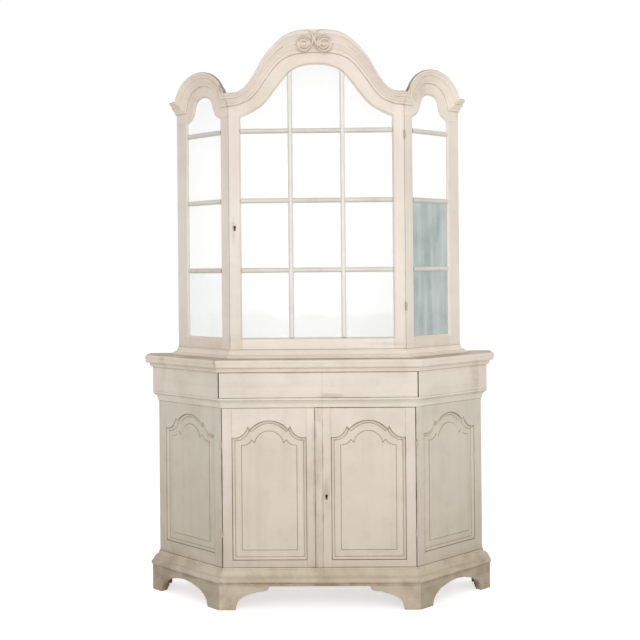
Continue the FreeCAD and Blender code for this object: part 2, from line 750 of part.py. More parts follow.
door_line = arch_line(door_arch_shares, upper_half, cornice_low, door_rise)
crown_line = arch_line(cornice_arch_shares, upper_half, cornice_top, cornice_rise)
head_depth = wall + sheet
head_room = under_arch(door_line, upper_floor, upper_front - overrun, upper_front + wall + stop_gap)
stop_room = under_arch(shifted(door_line, stop_width), upper_floor, upper_front - overrun,
                       upper_front + head_depth + overrun)
head_foot = cornice_low - stop_width
front_head = under_arch(crown_line, head_foot, upper_front, upper_front + head_depth)
front_head = front_head.cut([head_room, stop_room])
save("front_head", front_head)

upper_stop = box((upper_half - stop_width, upper_half),
                 (upper_front + wall + stop_gap, upper_front + stop_depth), (upper_floor, head_foot))

# Lock of the upper door, on its left stile, and its strike in the left stop

upper_lock_up = 516.0       # keyhole over the stage's floor
upper_key_in = 24.0         # keyhole from the corner
lock_width = 30.0
lock_depth = 13.0
lock_shell = 1.5
bolt_height = 12.0
bolt_depth = 5.0
upper_bolt_length = 24.0
lower_bolt_length = 44.0
bolt_throw = 12.0
key_side = 6.0              # middle of a lock from its keyhole
key_radius = 4.0
key_slot = 3.6
key_drop = 13.0


def keyhole(x, z, face):
    """Keyhole through a stile."""
    hole = Part.makeCylinder(key_radius, wall + overrun, Vector(x, face - overrun, z), Vector(0, 1, 0))
    return hole.fuse(box((x - key_slot / 2.0, x + key_slot / 2.0), (face - overrun, face + wall),
                         (z - key_drop, z)))


def lock(x, z, face, bolt_tip, bolt_length):
    """Lock case on the back of a stile, the bolt in it, and the bolt's way out."""
    near = face + wall
    case_x = (x - lock_width / 2.0, x + lock_width / 2.0)
    case = box(case_x, (near, near + lock_depth), (z - lock_height / 2.0, z + lock_height / 2.0))
    bolt_y = (near + lock_shell + running_gap, near + lock_shell + running_gap + bolt_depth)
    bolt_z = (z - bolt_height / 2.0, z + bolt_height / 2.0)
    bolt = box((bolt_tip, bolt_tip + bolt_length), bolt_y, bolt_z)
    hollow = box((case_x[0] + lock_shell, case_x[1] - lock_shell),
                 (near + lock_shell, near + lock_depth - lock_shell),
                 (z - lock_height / 2.0 + lock_shell, z + lock_height / 2.0 - lock_shell))
    mouth = box((bolt_tip - bolt_throw - running_gap, x),
                (bolt_y[0] - running_gap, bolt_y[1] + running_gap),
                (bolt_z[0] - running_gap, bolt_z[1] + running_gap))
    return case.cut([hollow, mouth]), bolt, mouth


upper_key_x = -upper_half + upper_key_in
upper_key_z = upper_floor + upper_lock_up
upper_lock_x = upper_key_x + key_side
door_lock, door_bolt, door_mouth = lock(upper_lock_x, upper_key_z, upper_front,
                                        upper_lock_x - lock_width / 2.0 + lock_shell, upper_bolt_length)
save("door_stops", *both_sides(lower_stop), head_stop, mirrored(upper_stop).cut(door_mouth), upper_stop)
save("upper_door_lock", door_lock)
save("upper_door_bolt", door_bolt)

# Upper door: two stiles, two rails, glazing bars and panes

upright_x = 110.0           # the two upright bars from the middle
door_foot = upper_floor + glazed_head_gap
light_half = upper_half - stile_width - door_gap
head_lip = 6.0              # depth of the door's head that closes up to the arch
lip_back = upper_front + head_lip
door_blank = under_arch(shifted(door_line, glazed_head_gap), door_foot, upper_front, lip_back)
door_blank = door_blank.fuse(under_arch(shifted(door_line, glazed_back_gap), door_foot, lip_back,
                                        upper_front + wall))
door_blank = door_blank.common(box((door_gap - upper_half, upper_half - door_gap),
                                   (upper_front, upper_front + wall),
                                   (door_foot, cornice_low + door_rise)))
door_tool = light_tool(light_line(0), light_line(sticking), light_low)
door_frame = door_blank.cut(moved(door_tool, 0, upper_front, 0))
door_frame = door_frame.cut(keyhole(upper_key_x, upper_key_z, upper_front))
for case_leaf, door_leaf, case_mortise, door_mortise in door_hinges:
    door_frame = door_frame.cut(door_mortise)


def door_piece(x, z):
    return door_frame.common(box(x, (upper_front, upper_front + wall), z))


door_high = cornice_low + door_rise
save("upper_door_stiles", door_piece((-upper_half, -light_half), (door_foot, door_high)),
     door_piece((light_half, upper_half), (door_foot, door_high)))
save("upper_door_bottom_rail", door_piece((-light_half, light_half), (door_foot, light_low)))
save("upper_door_arched_rail", door_piece((-light_half, light_half), (arch_start, door_high)))

door_light = under_arch(light_line(0), light_low, 0, wall)
uprights = [bar_section(True, x, light_low, door_high).common(door_light) for x in (-upright_x, upright_x)]
cross_bars = [bar_section(False, level, -light_half, light_half).common(door_light).cut(uprights)
              for level in row_levels]
door_panes = under_arch(light_line(0), light_low, pane_depth, pane_depth + glass)
door_panes = door_panes.cut(uprights + cross_bars)
save("upper_door_upright_bars", *[moved(bar, 0, upper_front, 0) for bar in uprights])
save("upper_door_cross_bars", *[moved(bar, 0, upper_front, 0) for bar in cross_bars])
save("upper_door_panes", moved(door_panes, 0, upper_front, 0))
save("upper_door_hinges", *[pair[1] for pair in door_hinges])

# Lower doors: the right one carries the astragal and the lock

astragal_width = 32.0
astragal_out = 9.0
hinge_stile = 43.0
panel_near = 51.0           # middle of the cabinet to a door panel's near edge
door_rail = 30.0            # bottom rail under a door panel
panel_shoulder = 124.0      # shoulders of the door panels under the cupboard's top
panel_crown = 53.0          # their crowns under the same level
lower_key_x = 31.0
astragal_half = (astragal_width - door_gap) / 2.0
panel_half = (lower_half - hinge_stile - panel_near) / 2.0
panel_middle = panel_near + panel_half
shoulder_z = cupboard_top - panel_shoulder
crown_z = cupboard_top - panel_crown
low_door = base_top + door_head_gap
high_door = cupboard_top - door_head_gap
door_tool, door_panel, door_bead = [moved(shape, panel_middle, front, 0)
                                    for shape in panel_set(panel_half, base_top + door_rail,
                                                           shoulder_z, crown_z, 0)]


def cupboard_door(near_edge):
    """Frame pieces of a right-hand door whose meeting edge lies at this x."""
    blank = box((near_edge, lower_half - door_gap), (front, front + wall), (low_door, high_door))
    blank = blank.cut(door_tool)
    for case_leaf, door_leaf, case_mortise, door_mortise in cupboard_hinges:
        blank = blank.cut(door_mortise)
    far = panel_middle + panel_half
    spans = ((near_edge, panel_near, low_door, high_door), (far, lower_half, low_door, high_door),
             (panel_near, far, low_door, base_top + door_rail), (panel_near, far, shoulder_z, high_door))
    return [blank.common(box((left, right), (front, front + wall), (low, high)))
            for left, right, low, high in spans]


right_frame = [piece.cut(keyhole(lower_key_x, lower_key_z, front)) for piece in
               cupboard_door(-astragal_half)]
left_frame = [mirrored(piece) for piece in cupboard_door(astragal_half + meeting_gap)]
save("right_door_frame", *right_frame)
save("left_door_frame", *left_frame)
save("right_door_panel", door_panel, door_bead)
save("left_door_panel", mirrored(door_panel), mirrored(door_bead))
save("right_door_hinges", *[pair[1] for pair in cupboard_hinges])
save("left_door_hinges", *[mirrored(pair[1]) for pair in cupboard_hinges])
half_round_share = astragal_out / astragal_half / 2.0
astragal = closed([(-astragal_half, front), (astragal_half, front, half_round_share)],
                  lambda x, y: Vector(x, y, low_door))
save("astragal", slice_of(astragal, Vector(0, 0, high_door - low_door)))
lower_lock_x = lower_key_x - key_side
right_lock, right_bolt, right_mouth = lock(lower_lock_x, lower_key_z, front,
                                           -astragal_half + lock_shell, lower_bolt_length)
save("right_door_lock", right_lock)
save("right_door_bolt", right_bolt)

case_leaves = [pair[0] for pair in cupboard_hinges + door_hinges]
save("case_hinge_leaves", *case_leaves, *[mirrored(pair[0]) for pair in cupboard_hinges])

# Cornice: a band between a lower and an upper line, moulded outwards

# Profile from the face: shares of the projection and of the band's height
cornice_face_shares = ((0.0, 0.0), (0.2, 0.0), (0.24, 0.04), (0.24, 0.17), (0.33, 0.19), (0.4, 0.25),
                       (0.5, 0.37), (0.56, 0.41), (0.62, 0.42), (0.66, 0.46), (0.66, 0.52),
                       (0.62, 0.56), (0.66, 0.6), (0.76, 0.72), (0.9, 0.79), (0.96, 0.81),
                       (1.0, 0.85), (1.0, 0.92), (0.96, 0.975), (0.86, 1.0))
centre_cornice_shares = cornice_face_shares + ((0.0, 1.0),)
side_cornice_shares = cornice_face_shares + ((0.5, 1.0), (0.0, 0.8))


def band_solid(stations, place, shares, ruled):
    """Solid through sections that stand between pairs of low and high points."""
    sections = []
    for (low_u, low_z), (high_u, high_z) in stations:
        points = [(low_u + (high_u - low_u) * up, low_z + (high_z - low_z) * up, cornice_out * across)
                  for across, up in shares]
        corner_points = [place(*point) for point in points]
        sections.append(Part.makePolygon(corner_points + corner_points[:1]))
    return Part.makeLoft(sections, True, ruled)


def on_front(u, z, out):
    return Vector(u * (upper_half + out * bevel) / upper_half, upper_front - out, z)


def on_cant(u, z, out):
    along = u * (upper_length + out * bevel + out * bevel) / upper_length - out * bevel
    return Vector(upper_half + (along + out) / root_two, upper_front + (along - out) / root_two, z)


scroll_radius = 31.0
scroll_apart = 42.0         # each scroll's centre from the middle
scroll_drop = 61.0          # its centre under the crown
carving_shift = -5.0        # the carving sits left of the middle
scroll_proud = 3.0
eye_radius = 11.0
notch_half = 26.0
notch_drop = 32.0
infill_out = 22.0

centre_band = band_solid(list(zip(door_line, crown_line)), on_front, centre_cornice_shares, False)
crown = cornice_top + cornice_rise
scrolls = [Part.makeCylinder(scroll_radius, cornice_out + scroll_proud,
                             Vector(x, upper_front, crown - scroll_drop), Vector(0, -1, 0))
           .fuse(Part.makeCylinder(eye_radius, cornice_out + scroll_proud + scroll_proud,
                                   Vector(x, upper_front, crown - scroll_drop), Vector(0, -1, 0)))
           for x in (carving_shift - scroll_apart, carving_shift + scroll_apart)]
notch = [(carving_shift + x, z) for x, z in (
    (-notch_half, crown + notch_drop), (-notch_half, crown), (0, crown - notch_drop),
    (notch_half, crown), (notch_half, crown + notch_drop))]
notch_room = plate(notch, upper_front - cornice_out - overrun, upper_front)
infill = plate(notch[1:4], upper_front - infill_out, upper_front)
centre_band = centre_band.cut(scrolls + [notch_room])
half_room = box((0, upper_half + overrun), (upper_front - overrun - overrun, upper_front),
                (cornice_low, crown + overrun))
save("centre_cornice", centre_band.common(mirrored(half_room)), centre_band.common(half_room))
save("crown_carving", *scrolls, infill)

band_ends = [((along, cornice_low), (along, cornice_top)) for along in (0, upper_length)]
cant_band = band_solid(band_ends[:1] + band + band_ends[1:], on_cant, side_cornice_shares, True)
return_profile = [(cornice_out * across, cornice_low + cornice_height * up)
                  for across, up in side_cornice_shares]
cornice_return = moulding(upper_corners, return_profile)[4]
save("side_cornices", *both_sides(cant_band), *both_sides(cornice_return))

# Upper back, shelves and roof

upper_inside = upper_half + upper_cant - wall
centre_boards = 4
centre_back = under_arch(shifted(crown_line, sheet), upper_floor, back - sheet, back)
side_back = box((upper_half, upper_inside), (back - sheet, back), (upper_floor, cornice_top))
save("upper_back", *board_row(centre_back, -upper_half, upper_half, centre_boards),
     *both_sides(side_back))

display_front = upper_front + stop_depth + running_gap
batten = 14.0
shelves = [upright(upper_corners(-wall), level - shelf_glass / 2.0, level + shelf_glass / 2.0)
           for level in row_levels]
shelf_room = box((-upper_inside, upper_inside), (display_front, shelf_back), (upper_floor, cornice_low))
save("display_shelves", *[shelf.common(shelf_room) for shelf in shelves])
battens = [box((upper_inside - batten, upper_inside), (upper_front + upper_cant + batten, shelf_back),
               (level - shelf_glass / 2.0 - batten, level - shelf_glass / 2.0)) for level in row_levels]
save("shelf_battens", *[shape for piece in battens for shape in both_sides(piece)])

roof_y = (upper_front + head_depth, back)
vault = under_arch(crown_line, cornice_low, *roof_y)
vault = vault.cut(under_arch(shifted(crown_line, sheet), 0, roof_y[0] - overrun, roof_y[1] + overrun))
inner_edge = upper_corners(-wall)[4]
roof_plan = [(upper_half, upper_front + stop_depth), inner_edge, upper_corners(0)[4],
             upper_corners(0)[5], (upper_half, back)]
side_roof = upright(roof_plan, cornice_top, cornice_top + sheet)
save("roof_boards", vault, *both_sides(side_roof))

os.makedirs("parts", exist_ok=True)
for name, solids in parts.items():
    shape = solids[0] if len(solids) == 1 else Part.Compound(solids)
    shape.exportStep("parts/" + name + ".step")
print(len(parts), "sub-parts,", sum(len(solids) for solids in parts.values()), "solids")
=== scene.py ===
import bpy
import bmesh
import json
import math
from mathutils import Matrix, Vector


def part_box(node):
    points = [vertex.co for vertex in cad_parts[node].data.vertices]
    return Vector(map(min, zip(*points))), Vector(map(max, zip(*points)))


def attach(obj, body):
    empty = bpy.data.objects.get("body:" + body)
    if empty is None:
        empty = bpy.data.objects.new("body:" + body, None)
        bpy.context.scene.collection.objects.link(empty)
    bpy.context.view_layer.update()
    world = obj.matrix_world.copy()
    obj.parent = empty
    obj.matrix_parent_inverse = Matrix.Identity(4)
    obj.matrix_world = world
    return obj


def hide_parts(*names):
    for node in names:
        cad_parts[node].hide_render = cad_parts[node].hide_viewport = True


# Painted display cabinet: a panelled cupboard with a drawer, and a glazed stage over it

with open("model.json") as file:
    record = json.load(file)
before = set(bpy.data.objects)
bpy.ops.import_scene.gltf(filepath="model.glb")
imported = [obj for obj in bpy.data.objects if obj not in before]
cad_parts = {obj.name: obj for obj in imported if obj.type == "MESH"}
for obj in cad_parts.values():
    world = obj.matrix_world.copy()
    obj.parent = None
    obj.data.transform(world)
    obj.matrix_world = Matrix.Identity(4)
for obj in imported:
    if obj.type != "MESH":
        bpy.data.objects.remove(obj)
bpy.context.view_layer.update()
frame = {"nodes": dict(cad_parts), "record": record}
nodes = frame["nodes"]
scene = bpy.context.scene
print("frame loaded:", len(nodes), "nodes")


# Colours and shader helpers

def tone(red, green, blue):  # a colour as it is seen, 0 to 255, to scene values
    def linear(value):
        share = value / 255.0
        return share / 12.92 if share <= 0.04045 else ((share + 0.055) / 1.055) ** 2.4
    return (linear(red), linear(green), linear(blue), 1.0)


def addNode(tree, kind, **sockets):
    node = tree.nodes.new(kind)
    for name, value in sockets.items():
        node.inputs[name.replace("_", " ")].default_value = value
    return node


def mixColors(tree, factor, first, second):
    node = tree.nodes.new("ShaderNodeMix")
    node.data_type = "RGBA"
    for socket, value in ((node.inputs[0], factor), (node.inputs[6], first), (node.inputs[7], second)):
        if isinstance(value, bpy.types.NodeSocket):
            tree.links.new(value, socket)
        else:
            socket.default_value = value
    return node.outputs[2]


def mathNode(tree, operation, first, second, clamp=False):
    node = tree.nodes.new("ShaderNodeMath")
    node.operation = operation
    node.use_clamp = clamp
    for socket, value in zip(node.inputs, (first, second)):
        if isinstance(value, bpy.types.NodeSocket):
            tree.links.new(value, socket)
        else:
            socket.default_value = value
    return node.outputs[0]


def ramp(tree, value, low, high, toLow=0.0, toHigh=1.0):
    node = addNode(tree, "ShaderNodeMapRange", From_Min=low, From_Max=high, To_Min=toLow, To_Max=toHigh)
    node.interpolation_type = "SMOOTHSTEP"
    tree.links.new(value, node.inputs["Value"])
    return node.outputs["Result"]


def noiseAt(tree, vector, scale, detail=3.0, rough=0.55, stretch=(1.0, 1.0, 1.0), distortion=0.0):
    mapping = addNode(tree, "ShaderNodeMapping", Scale=stretch)
    tree.links.new(vector, mapping.inputs["Vector"])
    node = addNode(tree, "ShaderNodeTexNoise", Scale=scale, Detail=detail, Roughness=rough,
                   Distortion=distortion)
    tree.links.new(mapping.outputs["Vector"], node.inputs["Vector"])
    return node.outputs["Fac"]


def newGroup(name, inputs, outputs):
    tree = bpy.data.node_groups.new(name, "ShaderNodeTree")
    for socketName, kind, value in inputs:
        socket = tree.interface.new_socket(name=socketName, in_out="INPUT", socket_type=kind)
        socket.default_value = value
    for socketName, kind in outputs:
        tree.interface.new_socket(name=socketName, in_out="OUTPUT", socket_type=kind)
    return tree, tree.nodes.new("NodeGroupInput"), tree.nodes.new("NodeGroupOutput")


# Old paint: cloudy coats, brush strokes, grime and painted shade in corners, rubbed edges, and bare wood
# near the floor.
# A noise is its scale, detail and roughness, and a ramp runs from one level to the next

oldPaint = {
    "clouds": (3.1, 4.0, 0.6), "patches": (11.0, 5.0, 0.62), "specks": (95.0, 3.0, 0.6),
    "strokes": (120.0, 3.0, 0.65), "broadStrokes": (34.0, 3.0, 0.6),
    "cloudRamp": (0.36, 0.68, 0.0, 0.55), "patchRamp": (0.45, 0.72, 0.0, 0.35),
    "broadRamp": (0.4, 0.75, -0.08, 0.22),
    "cornerReach": 0.018, "cornerRamp": (0.82, 0.3, 0.0, 0.42), "cornerPatches": (0.25, 0.62, 0.35, 1.0),
    "creaseReach": 0.0045, "creaseRamp": (0.8, 0.35), "creaseClouds": (0.3, 0.6, 0.6, 1.0),
    "fleckRamp": (0.66, 0.78, 0.0, 0.3), "fleckPatches": (0.5, 0.7),
    "spotStrokes": (0.3, 0.7, 0.35, 1.0), "spotPatches": (0.3, 0.65, 0.3, 1.0),
    "floorRamp": (0.26, 0.0), "floorPatches": (0.3, 0.75, 0.25, 1.0), "downwardShadeRamp": (0.85, 0.12),
    "topRamp": (0.0, 0.18), "topPatches": (0.3, 0.6, 0.7, 1.0),
    "edgeReach": 0.0035, "edgeRamp": (0.8, 0.45), "edgePatches": (0.46, 0.66),
    "roughness": (0.3, 0.7, 0.46, 0.6), "dirtRoughness": 0.2,
    "strokeRelief": 0.5, "patchRelief": 0.6, "rubbedRelief": 0.5,
    "shine": 0.35, "bump": 0.6, "bumpHeight": 0.0005,
}


def shadeReach(tree, distance, samples, inside=False):  # how open the surface is, over that distance
    node = addNode(tree, "ShaderNodeAmbientOcclusion", Distance=distance)
    node.samples = samples
    node.inside = inside
    return node.outputs["AO"]


def makePaintGroup():
    tree, given, out = newGroup("oldPaint", [
        ("Paint", "NodeSocketColor", tone(236, 226, 212)),
        ("Undercoat", "NodeSocketColor", tone(214, 206, 190)),
        ("Grime", "NodeSocketColor", tone(150, 128, 98)),
        ("Bare", "NodeSocketColor", tone(126, 88, 56)),
        ("Strokes", "NodeSocketVector", (1.0, 1.0, 0.05)),
        ("Corner Dirt And Shade", "NodeSocketFloat", 0.75),
        ("Edge Wear", "NodeSocketFloat", 0.35),
        ("Floor Dirt", "NodeSocketFloat", 0.0), ("Damp", "NodeSocketFloat", 0.0),
        ("Top Dust And Shade", "NodeSocketFloat", 0.0), ("Top From", "NodeSocketFloat", 0.8),
        ("Stains And Shade", "NodeSocketFloat", 0.0)],
        [("Color", "NodeSocketColor"), ("Roughness", "NodeSocketFloat"), ("Height", "NodeSocketFloat")])
    links = tree.links
    look = oldPaint
    place = tree.nodes.new("ShaderNodeTexCoord")
    where = place.outputs["Object"]
    clouds = noiseAt(tree, where, *look["clouds"])
    patches = noiseAt(tree, where, *look["patches"])
    specks = noiseAt(tree, where, *look["specks"])
    stretch = tree.nodes.new("ShaderNodeVectorMath")
    stretch.operation = "MULTIPLY"
    links.new(where, stretch.inputs[0])
    links.new(given.outputs["Strokes"], stretch.inputs[1])
    strokes = noiseAt(tree, stretch.outputs[0], *look["strokes"])
    broadStrokes = noiseAt(tree, stretch.outputs[0], *look["broadStrokes"])

    def times(first, second, clamp=False):
        return mathNode(tree, "MULTIPLY", first, second, clamp)

    def rampOf(value, name):
        return ramp(tree, value, *look[name])

    cloudy = mathNode(tree, "ADD", rampOf(clouds, "cloudRamp"), rampOf(patches, "patchRamp"))
    cloudy = mathNode(tree, "ADD", cloudy, rampOf(broadStrokes, "broadRamp"), True)
    color = mixColors(tree, cloudy, given.outputs["Paint"], given.outputs["Undercoat"])

    # Grime and painted shade: darker towards the grime colour where the surface is closed in, in corners,
    # creases and between parts; flecks are specks of dirt
    cornerShade = rampOf(shadeReach(tree, look["cornerReach"], 4), "cornerRamp")
    cornerShade = times(cornerShade, rampOf(patches, "cornerPatches"))
    creaseShade = rampOf(shadeReach(tree, look["creaseReach"], 5), "creaseRamp")
    grimeAndShade = mathNode(tree, "MAXIMUM", cornerShade, times(creaseShade, rampOf(clouds, "creaseClouds")))
    grimeAndShade = times(grimeAndShade, given.outputs["Corner Dirt And Shade"], True)
    flecks = times(rampOf(specks, "fleckRamp"), rampOf(patches, "fleckPatches"))
    grimeAndShade = mathNode(tree, "MAXIMUM", grimeAndShade, times(flecks, given.outputs["Corner Dirt And Shade"]))
    color = mixColors(tree, grimeAndShade, color, given.outputs["Grime"])

    stainsAndShade = times(given.outputs["Stains And Shade"], rampOf(strokes, "spotStrokes"))
    stainsAndShade = times(stainsAndShade, rampOf(patches, "spotPatches"), True)
    # Stains, and painted shade lines, in the bare wood's brown
    color = mixColors(tree, stainsAndShade, color, given.outputs["Bare"])
    height = tree.nodes.new("ShaderNodeSeparateXYZ")
    links.new(where, height.inputs[0])
    # Darker towards the floor: patchy floor dirt below 0.26 m, and painted shade that darkens the paint
    # evenly from 0.85 m down to 0.12 m
    low = times(rampOf(height.outputs["Z"], "floorRamp"), rampOf(patches, "floorPatches"))
    low = times(low, given.outputs["Floor Dirt"], True)
    downwardShade = times(rampOf(height.outputs["Z"], "downwardShadeRamp"), given.outputs["Damp"])
    low = mathNode(tree, "MAXIMUM", low, downwardShade)
    # Faces turned upwards darken in patches: dust and painted shade on the tops
    facing = tree.nodes.new("ShaderNodeSeparateXYZ")
    links.new(place.outputs["Normal"], facing.inputs[0])
    lean = mathNode(tree, "SUBTRACT", facing.outputs["Z"], given.outputs["Top From"])
    top = times(rampOf(lean, "topRamp"), given.outputs["Top Dust And Shade"])
    top = times(top, rampOf(patches, "topPatches"), True)
    color = mixColors(tree, mathNode(tree, "MAXIMUM", low, top), color, given.outputs["Grime"])

    rubbed = rampOf(shadeReach(tree, look["edgeReach"], 4, True), "edgeRamp")
    rubbed = times(rubbed, rampOf(patches, "edgePatches"))
    rubbed = times(rubbed, given.outputs["Edge Wear"], True)
    color = mixColors(tree, rubbed, color, given.outputs["Bare"])
    links.new(color, out.inputs["Color"])

    rough = mathNode(tree, "ADD", rampOf(patches, "roughness"), times(grimeAndShade, look["dirtRoughness"]), True)
    links.new(rough, out.inputs["Roughness"])
    relief = mathNode(tree, "ADD", times(strokes, look["strokeRelief"]),
                      times(patches, look["patchRelief"]))
    relief = mathNode(tree, "SUBTRACT", relief, times(rubbed, look["rubbedRelief"]))
    links.new(relief, out.inputs["Height"])
    return tree


# Plain wood: long grain with growth bands and pores

oldWood = {
    "bands": (16.0, 4.0, 0.6), "bandWaves": 1.2, "pores": (240.0, 2.0, 0.7), "stains": (4.0, 3.0, 0.6),
    "bandRamp": (0.35, 0.65, 0.0, 0.7), "poreRamp": (0.55, 0.75, 0.0, 0.3),
    "stainRamp": (0.4, 0.75, 0.0, 0.5), "stain": (92, 70, 50), "roughness": (0.3, 0.7, 0.62, 0.8),
    "bandRelief": 0.5, "poreRelief": 0.5, "shine": 0.25, "bump": 0.6, "bumpHeight": 0.0004,
}


def makeGrainGroup():
    tree, given, out = newGroup("woodGrain", [
        ("Light", "NodeSocketColor", tone(176, 138, 96)),
        ("Dark", "NodeSocketColor", tone(120, 86, 55)),
        ("Along", "NodeSocketVector", (1.0, 1.0, 0.06))],
        [("Color", "NodeSocketColor"), ("Roughness", "NodeSocketFloat"), ("Height", "NodeSocketFloat")])
    links = tree.links
    look = oldWood
    where = tree.nodes.new("ShaderNodeTexCoord").outputs["Object"]
    stretch = tree.nodes.new("ShaderNodeVectorMath")
    stretch.operation = "MULTIPLY"
    links.new(where, stretch.inputs[0])
    links.new(given.outputs["Along"], stretch.inputs[1])
    bands = noiseAt(tree, stretch.outputs[0], *look["bands"], distortion=look["bandWaves"])
    pores = noiseAt(tree, stretch.outputs[0], *look["pores"])
    stains = noiseAt(tree, where, *look["stains"])
    mask = mathNode(tree, "ADD", ramp(tree, bands, *look["bandRamp"]), ramp(tree, pores, *look["poreRamp"]),
                    True)
    color = mixColors(tree, mask, given.outputs["Light"], given.outputs["Dark"])
    color = mixColors(tree, ramp(tree, stains, *look["stainRamp"]), color, tone(*look["stain"]))
    links.new(color, out.inputs["Color"])
    links.new(ramp(tree, pores, *look["roughness"]), out.inputs["Roughness"])
    relief = mathNode(tree, "ADD", mathNode(tree, "MULTIPLY", bands, look["bandRelief"]),
                      mathNode(tree, "MULTIPLY", pores, look["poreRelief"]))
    links.new(relief, out.inputs["Height"])
    return tree


# Where hands, keys and damp have browned the paint, with painted shade lines beside the cover strip, along
# the base moulding and in the valleys where the crowns meet.
# Each spot is its place across, its height, its size across and up, and how strong it is

stainAndShadePlaces = {
    "cover strip": ((0.0, 0.80, 0.014, 0.045, 0.5), (0.0, 0.6, 0.014, 0.17, 0.42),
                    (0.0, 0.28, 0.014, 0.16, 0.22), (-0.008, 0.66, 0.005, 0.12, 0.4)),
    # Brown lines along both sides of the cover strip: stains, and painted shade in the cracks and on the
    # left door's rounded edge
    "sides of the cover strip": ((0.0168, 0.5, 0.0021, 0.55, 0.9), (-0.0172, 0.8, 0.004, 0.04, 0.85),
                                 (-0.0215, 0.5, 0.004, 0.4, 0.5), (-0.035, 0.56, 0.022, 0.2, 0.2),
                                 (-0.02, 0.175, 0.03, 0.03, 0.3)),
    "lower keyhole": ((0.031, 0.47, 0.02, 0.09, 0.5),),
    "upper keyhole": ((-0.35, 1.575, 0.012, 0.06, 0.3),),
    "drawer's foot": ((0.06, 0.882, 0.075, 0.013, 0.55), (0.16, 0.876, 0.09, 0.006, 0.5),
                      (-0.4155, 0.879, 0.004, 0.006, 0.8), (0.4145, 0.879, 0.004, 0.006, 0.9)),
    "right door's head": ((0.085, 0.8318, 0.075, 0.0042, 0.8),),
    "hinged edges": ((-0.403, 0.5, 0.006, 0.3, 0.3), (0.403, 0.5, 0.006, 0.3, 0.3)),
    # Along the base moulding: stains, and painted shade lines under its overhang near 0.11 m and at a quirk
    # near its top
    "base moulding": ((-0.25, 0.112, 0.22, 0.006, 0.7), (0.17, 0.112, 0.25, 0.006, 0.55),
                      (0.0, 0.1105, 1.4, 0.0034, 0.75), (0.0, 0.104, 1.2, 0.0085, 0.85),
                      (0.0, 0.1613, 1.1, 0.0024, 0.35), (-0.62, 0.15, 0.16, 0.05, 0.26),
                      (0.62, 0.15, 0.16, 0.05, 0.26)),
    "feet": ((-0.72, 0.06, 0.07, 0.1, 0.6), (0.72, 0.06, 0.07, 0.1, 0.52),
             (-0.41, 0.116, 0.012, 0.01, 0.6), (0.41, 0.116, 0.012, 0.01, 0.6)),
    "slab and friezes": ((0.0, 0.98, 0.5, 0.004, 0.3), (0.30, 1.09, 0.12, 0.01, 0.18),
                         (-0.68, 0.99, 0.02, 0.1, 0.3), (0.68, 0.95, 0.02, 0.12, 0.3),
                         (-0.425, 1.018, 0.0045, 0.022, 0.6)),
    # Where the side crowns meet the centre crown: painted shade in the deep valleys, in brown
    "ends of the crown": ((-0.396, 2.172, 0.016, 0.03, 0.95), (0.386, 2.172, 0.015, 0.028, 0.85),
                          (-0.5, 2.15, 0.11, 0.12, 0.16), (0.44, 2.15, 0.06, 0.11, 0.26)),
}
spotEdge = {"wobble": (14.0, 3.0, 0.6), "wobbleWidth": 1.1, "fade": (1.75, 0.75)}


# A mask of stains and painted shade lines, each spot fading out at a wobbly edge
def makeStainAndShadeGroup():
    tree, given, out = newGroup("stainAndShadeMask", [("Amount", "NodeSocketFloat", 1.0)],
                                [("Mask", "NodeSocketFloat")])
    where = tree.nodes.new("ShaderNodeTexCoord").outputs["Object"]
    wobble = noiseAt(tree, where, *spotEdge["wobble"])
    total = None
    for across, level, wide, tall, strength in [spot for spots in stainAndShadePlaces.values() for spot in spots]:
        shift = addNode(tree, "ShaderNodeMapping", Location=(-across / wide, 0.0, -level / tall),
                        Scale=(1.0 / wide, 0.0, 1.0 / tall))
        tree.links.new(where, shift.inputs["Vector"])
        length = tree.nodes.new("ShaderNodeVectorMath")
        length.operation = "LENGTH"
        tree.links.new(shift.outputs["Vector"], length.inputs[0])
        spread = mathNode(tree, "ADD", length.outputs["Value"],
                          mathNode(tree, "MULTIPLY", wobble, spotEdge["wobbleWidth"]))
        spot = ramp(tree, spread, *spotEdge["fade"], 0.0, strength)
        total = spot if total is None else mathNode(tree, "MAXIMUM", total, spot)
    tree.links.new(mathNode(tree, "MULTIPLY", total, given.outputs["Amount"]), out.inputs["Mask"])
    return tree


paintGroup = makePaintGroup()
grainGroup = makeGrainGroup()
stainAndShadeGroup = makeStainAndShadeGroup()


def newMaterial(name):
    material = bpy.data.materials.new(name)
    material.use_nodes = True
    tree = material.node_tree
    return material, tree, tree.nodes["Principled BSDF"]


def placeGroup(tree, group, shader, values, look):
    shader.inputs["Specular IOR Level"].default_value = look["shine"]
    surface = tree.nodes.new("ShaderNodeGroup")
    surface.node_tree = group
    for name, value in values.items():
        surface.inputs[name].default_value = value
    tree.links.new(surface.outputs["Color"], shader.inputs["Base Color"])
    tree.links.new(surface.outputs["Roughness"], shader.inputs["Roughness"])
    bump = addNode(tree, "ShaderNodeBump", Strength=look["bump"], Distance=look["bumpHeight"])
    tree.links.new(surface.outputs["Height"], bump.inputs["Height"])
    tree.links.new(bump.outputs["Normal"], shader.inputs["Normal"])
    return surface


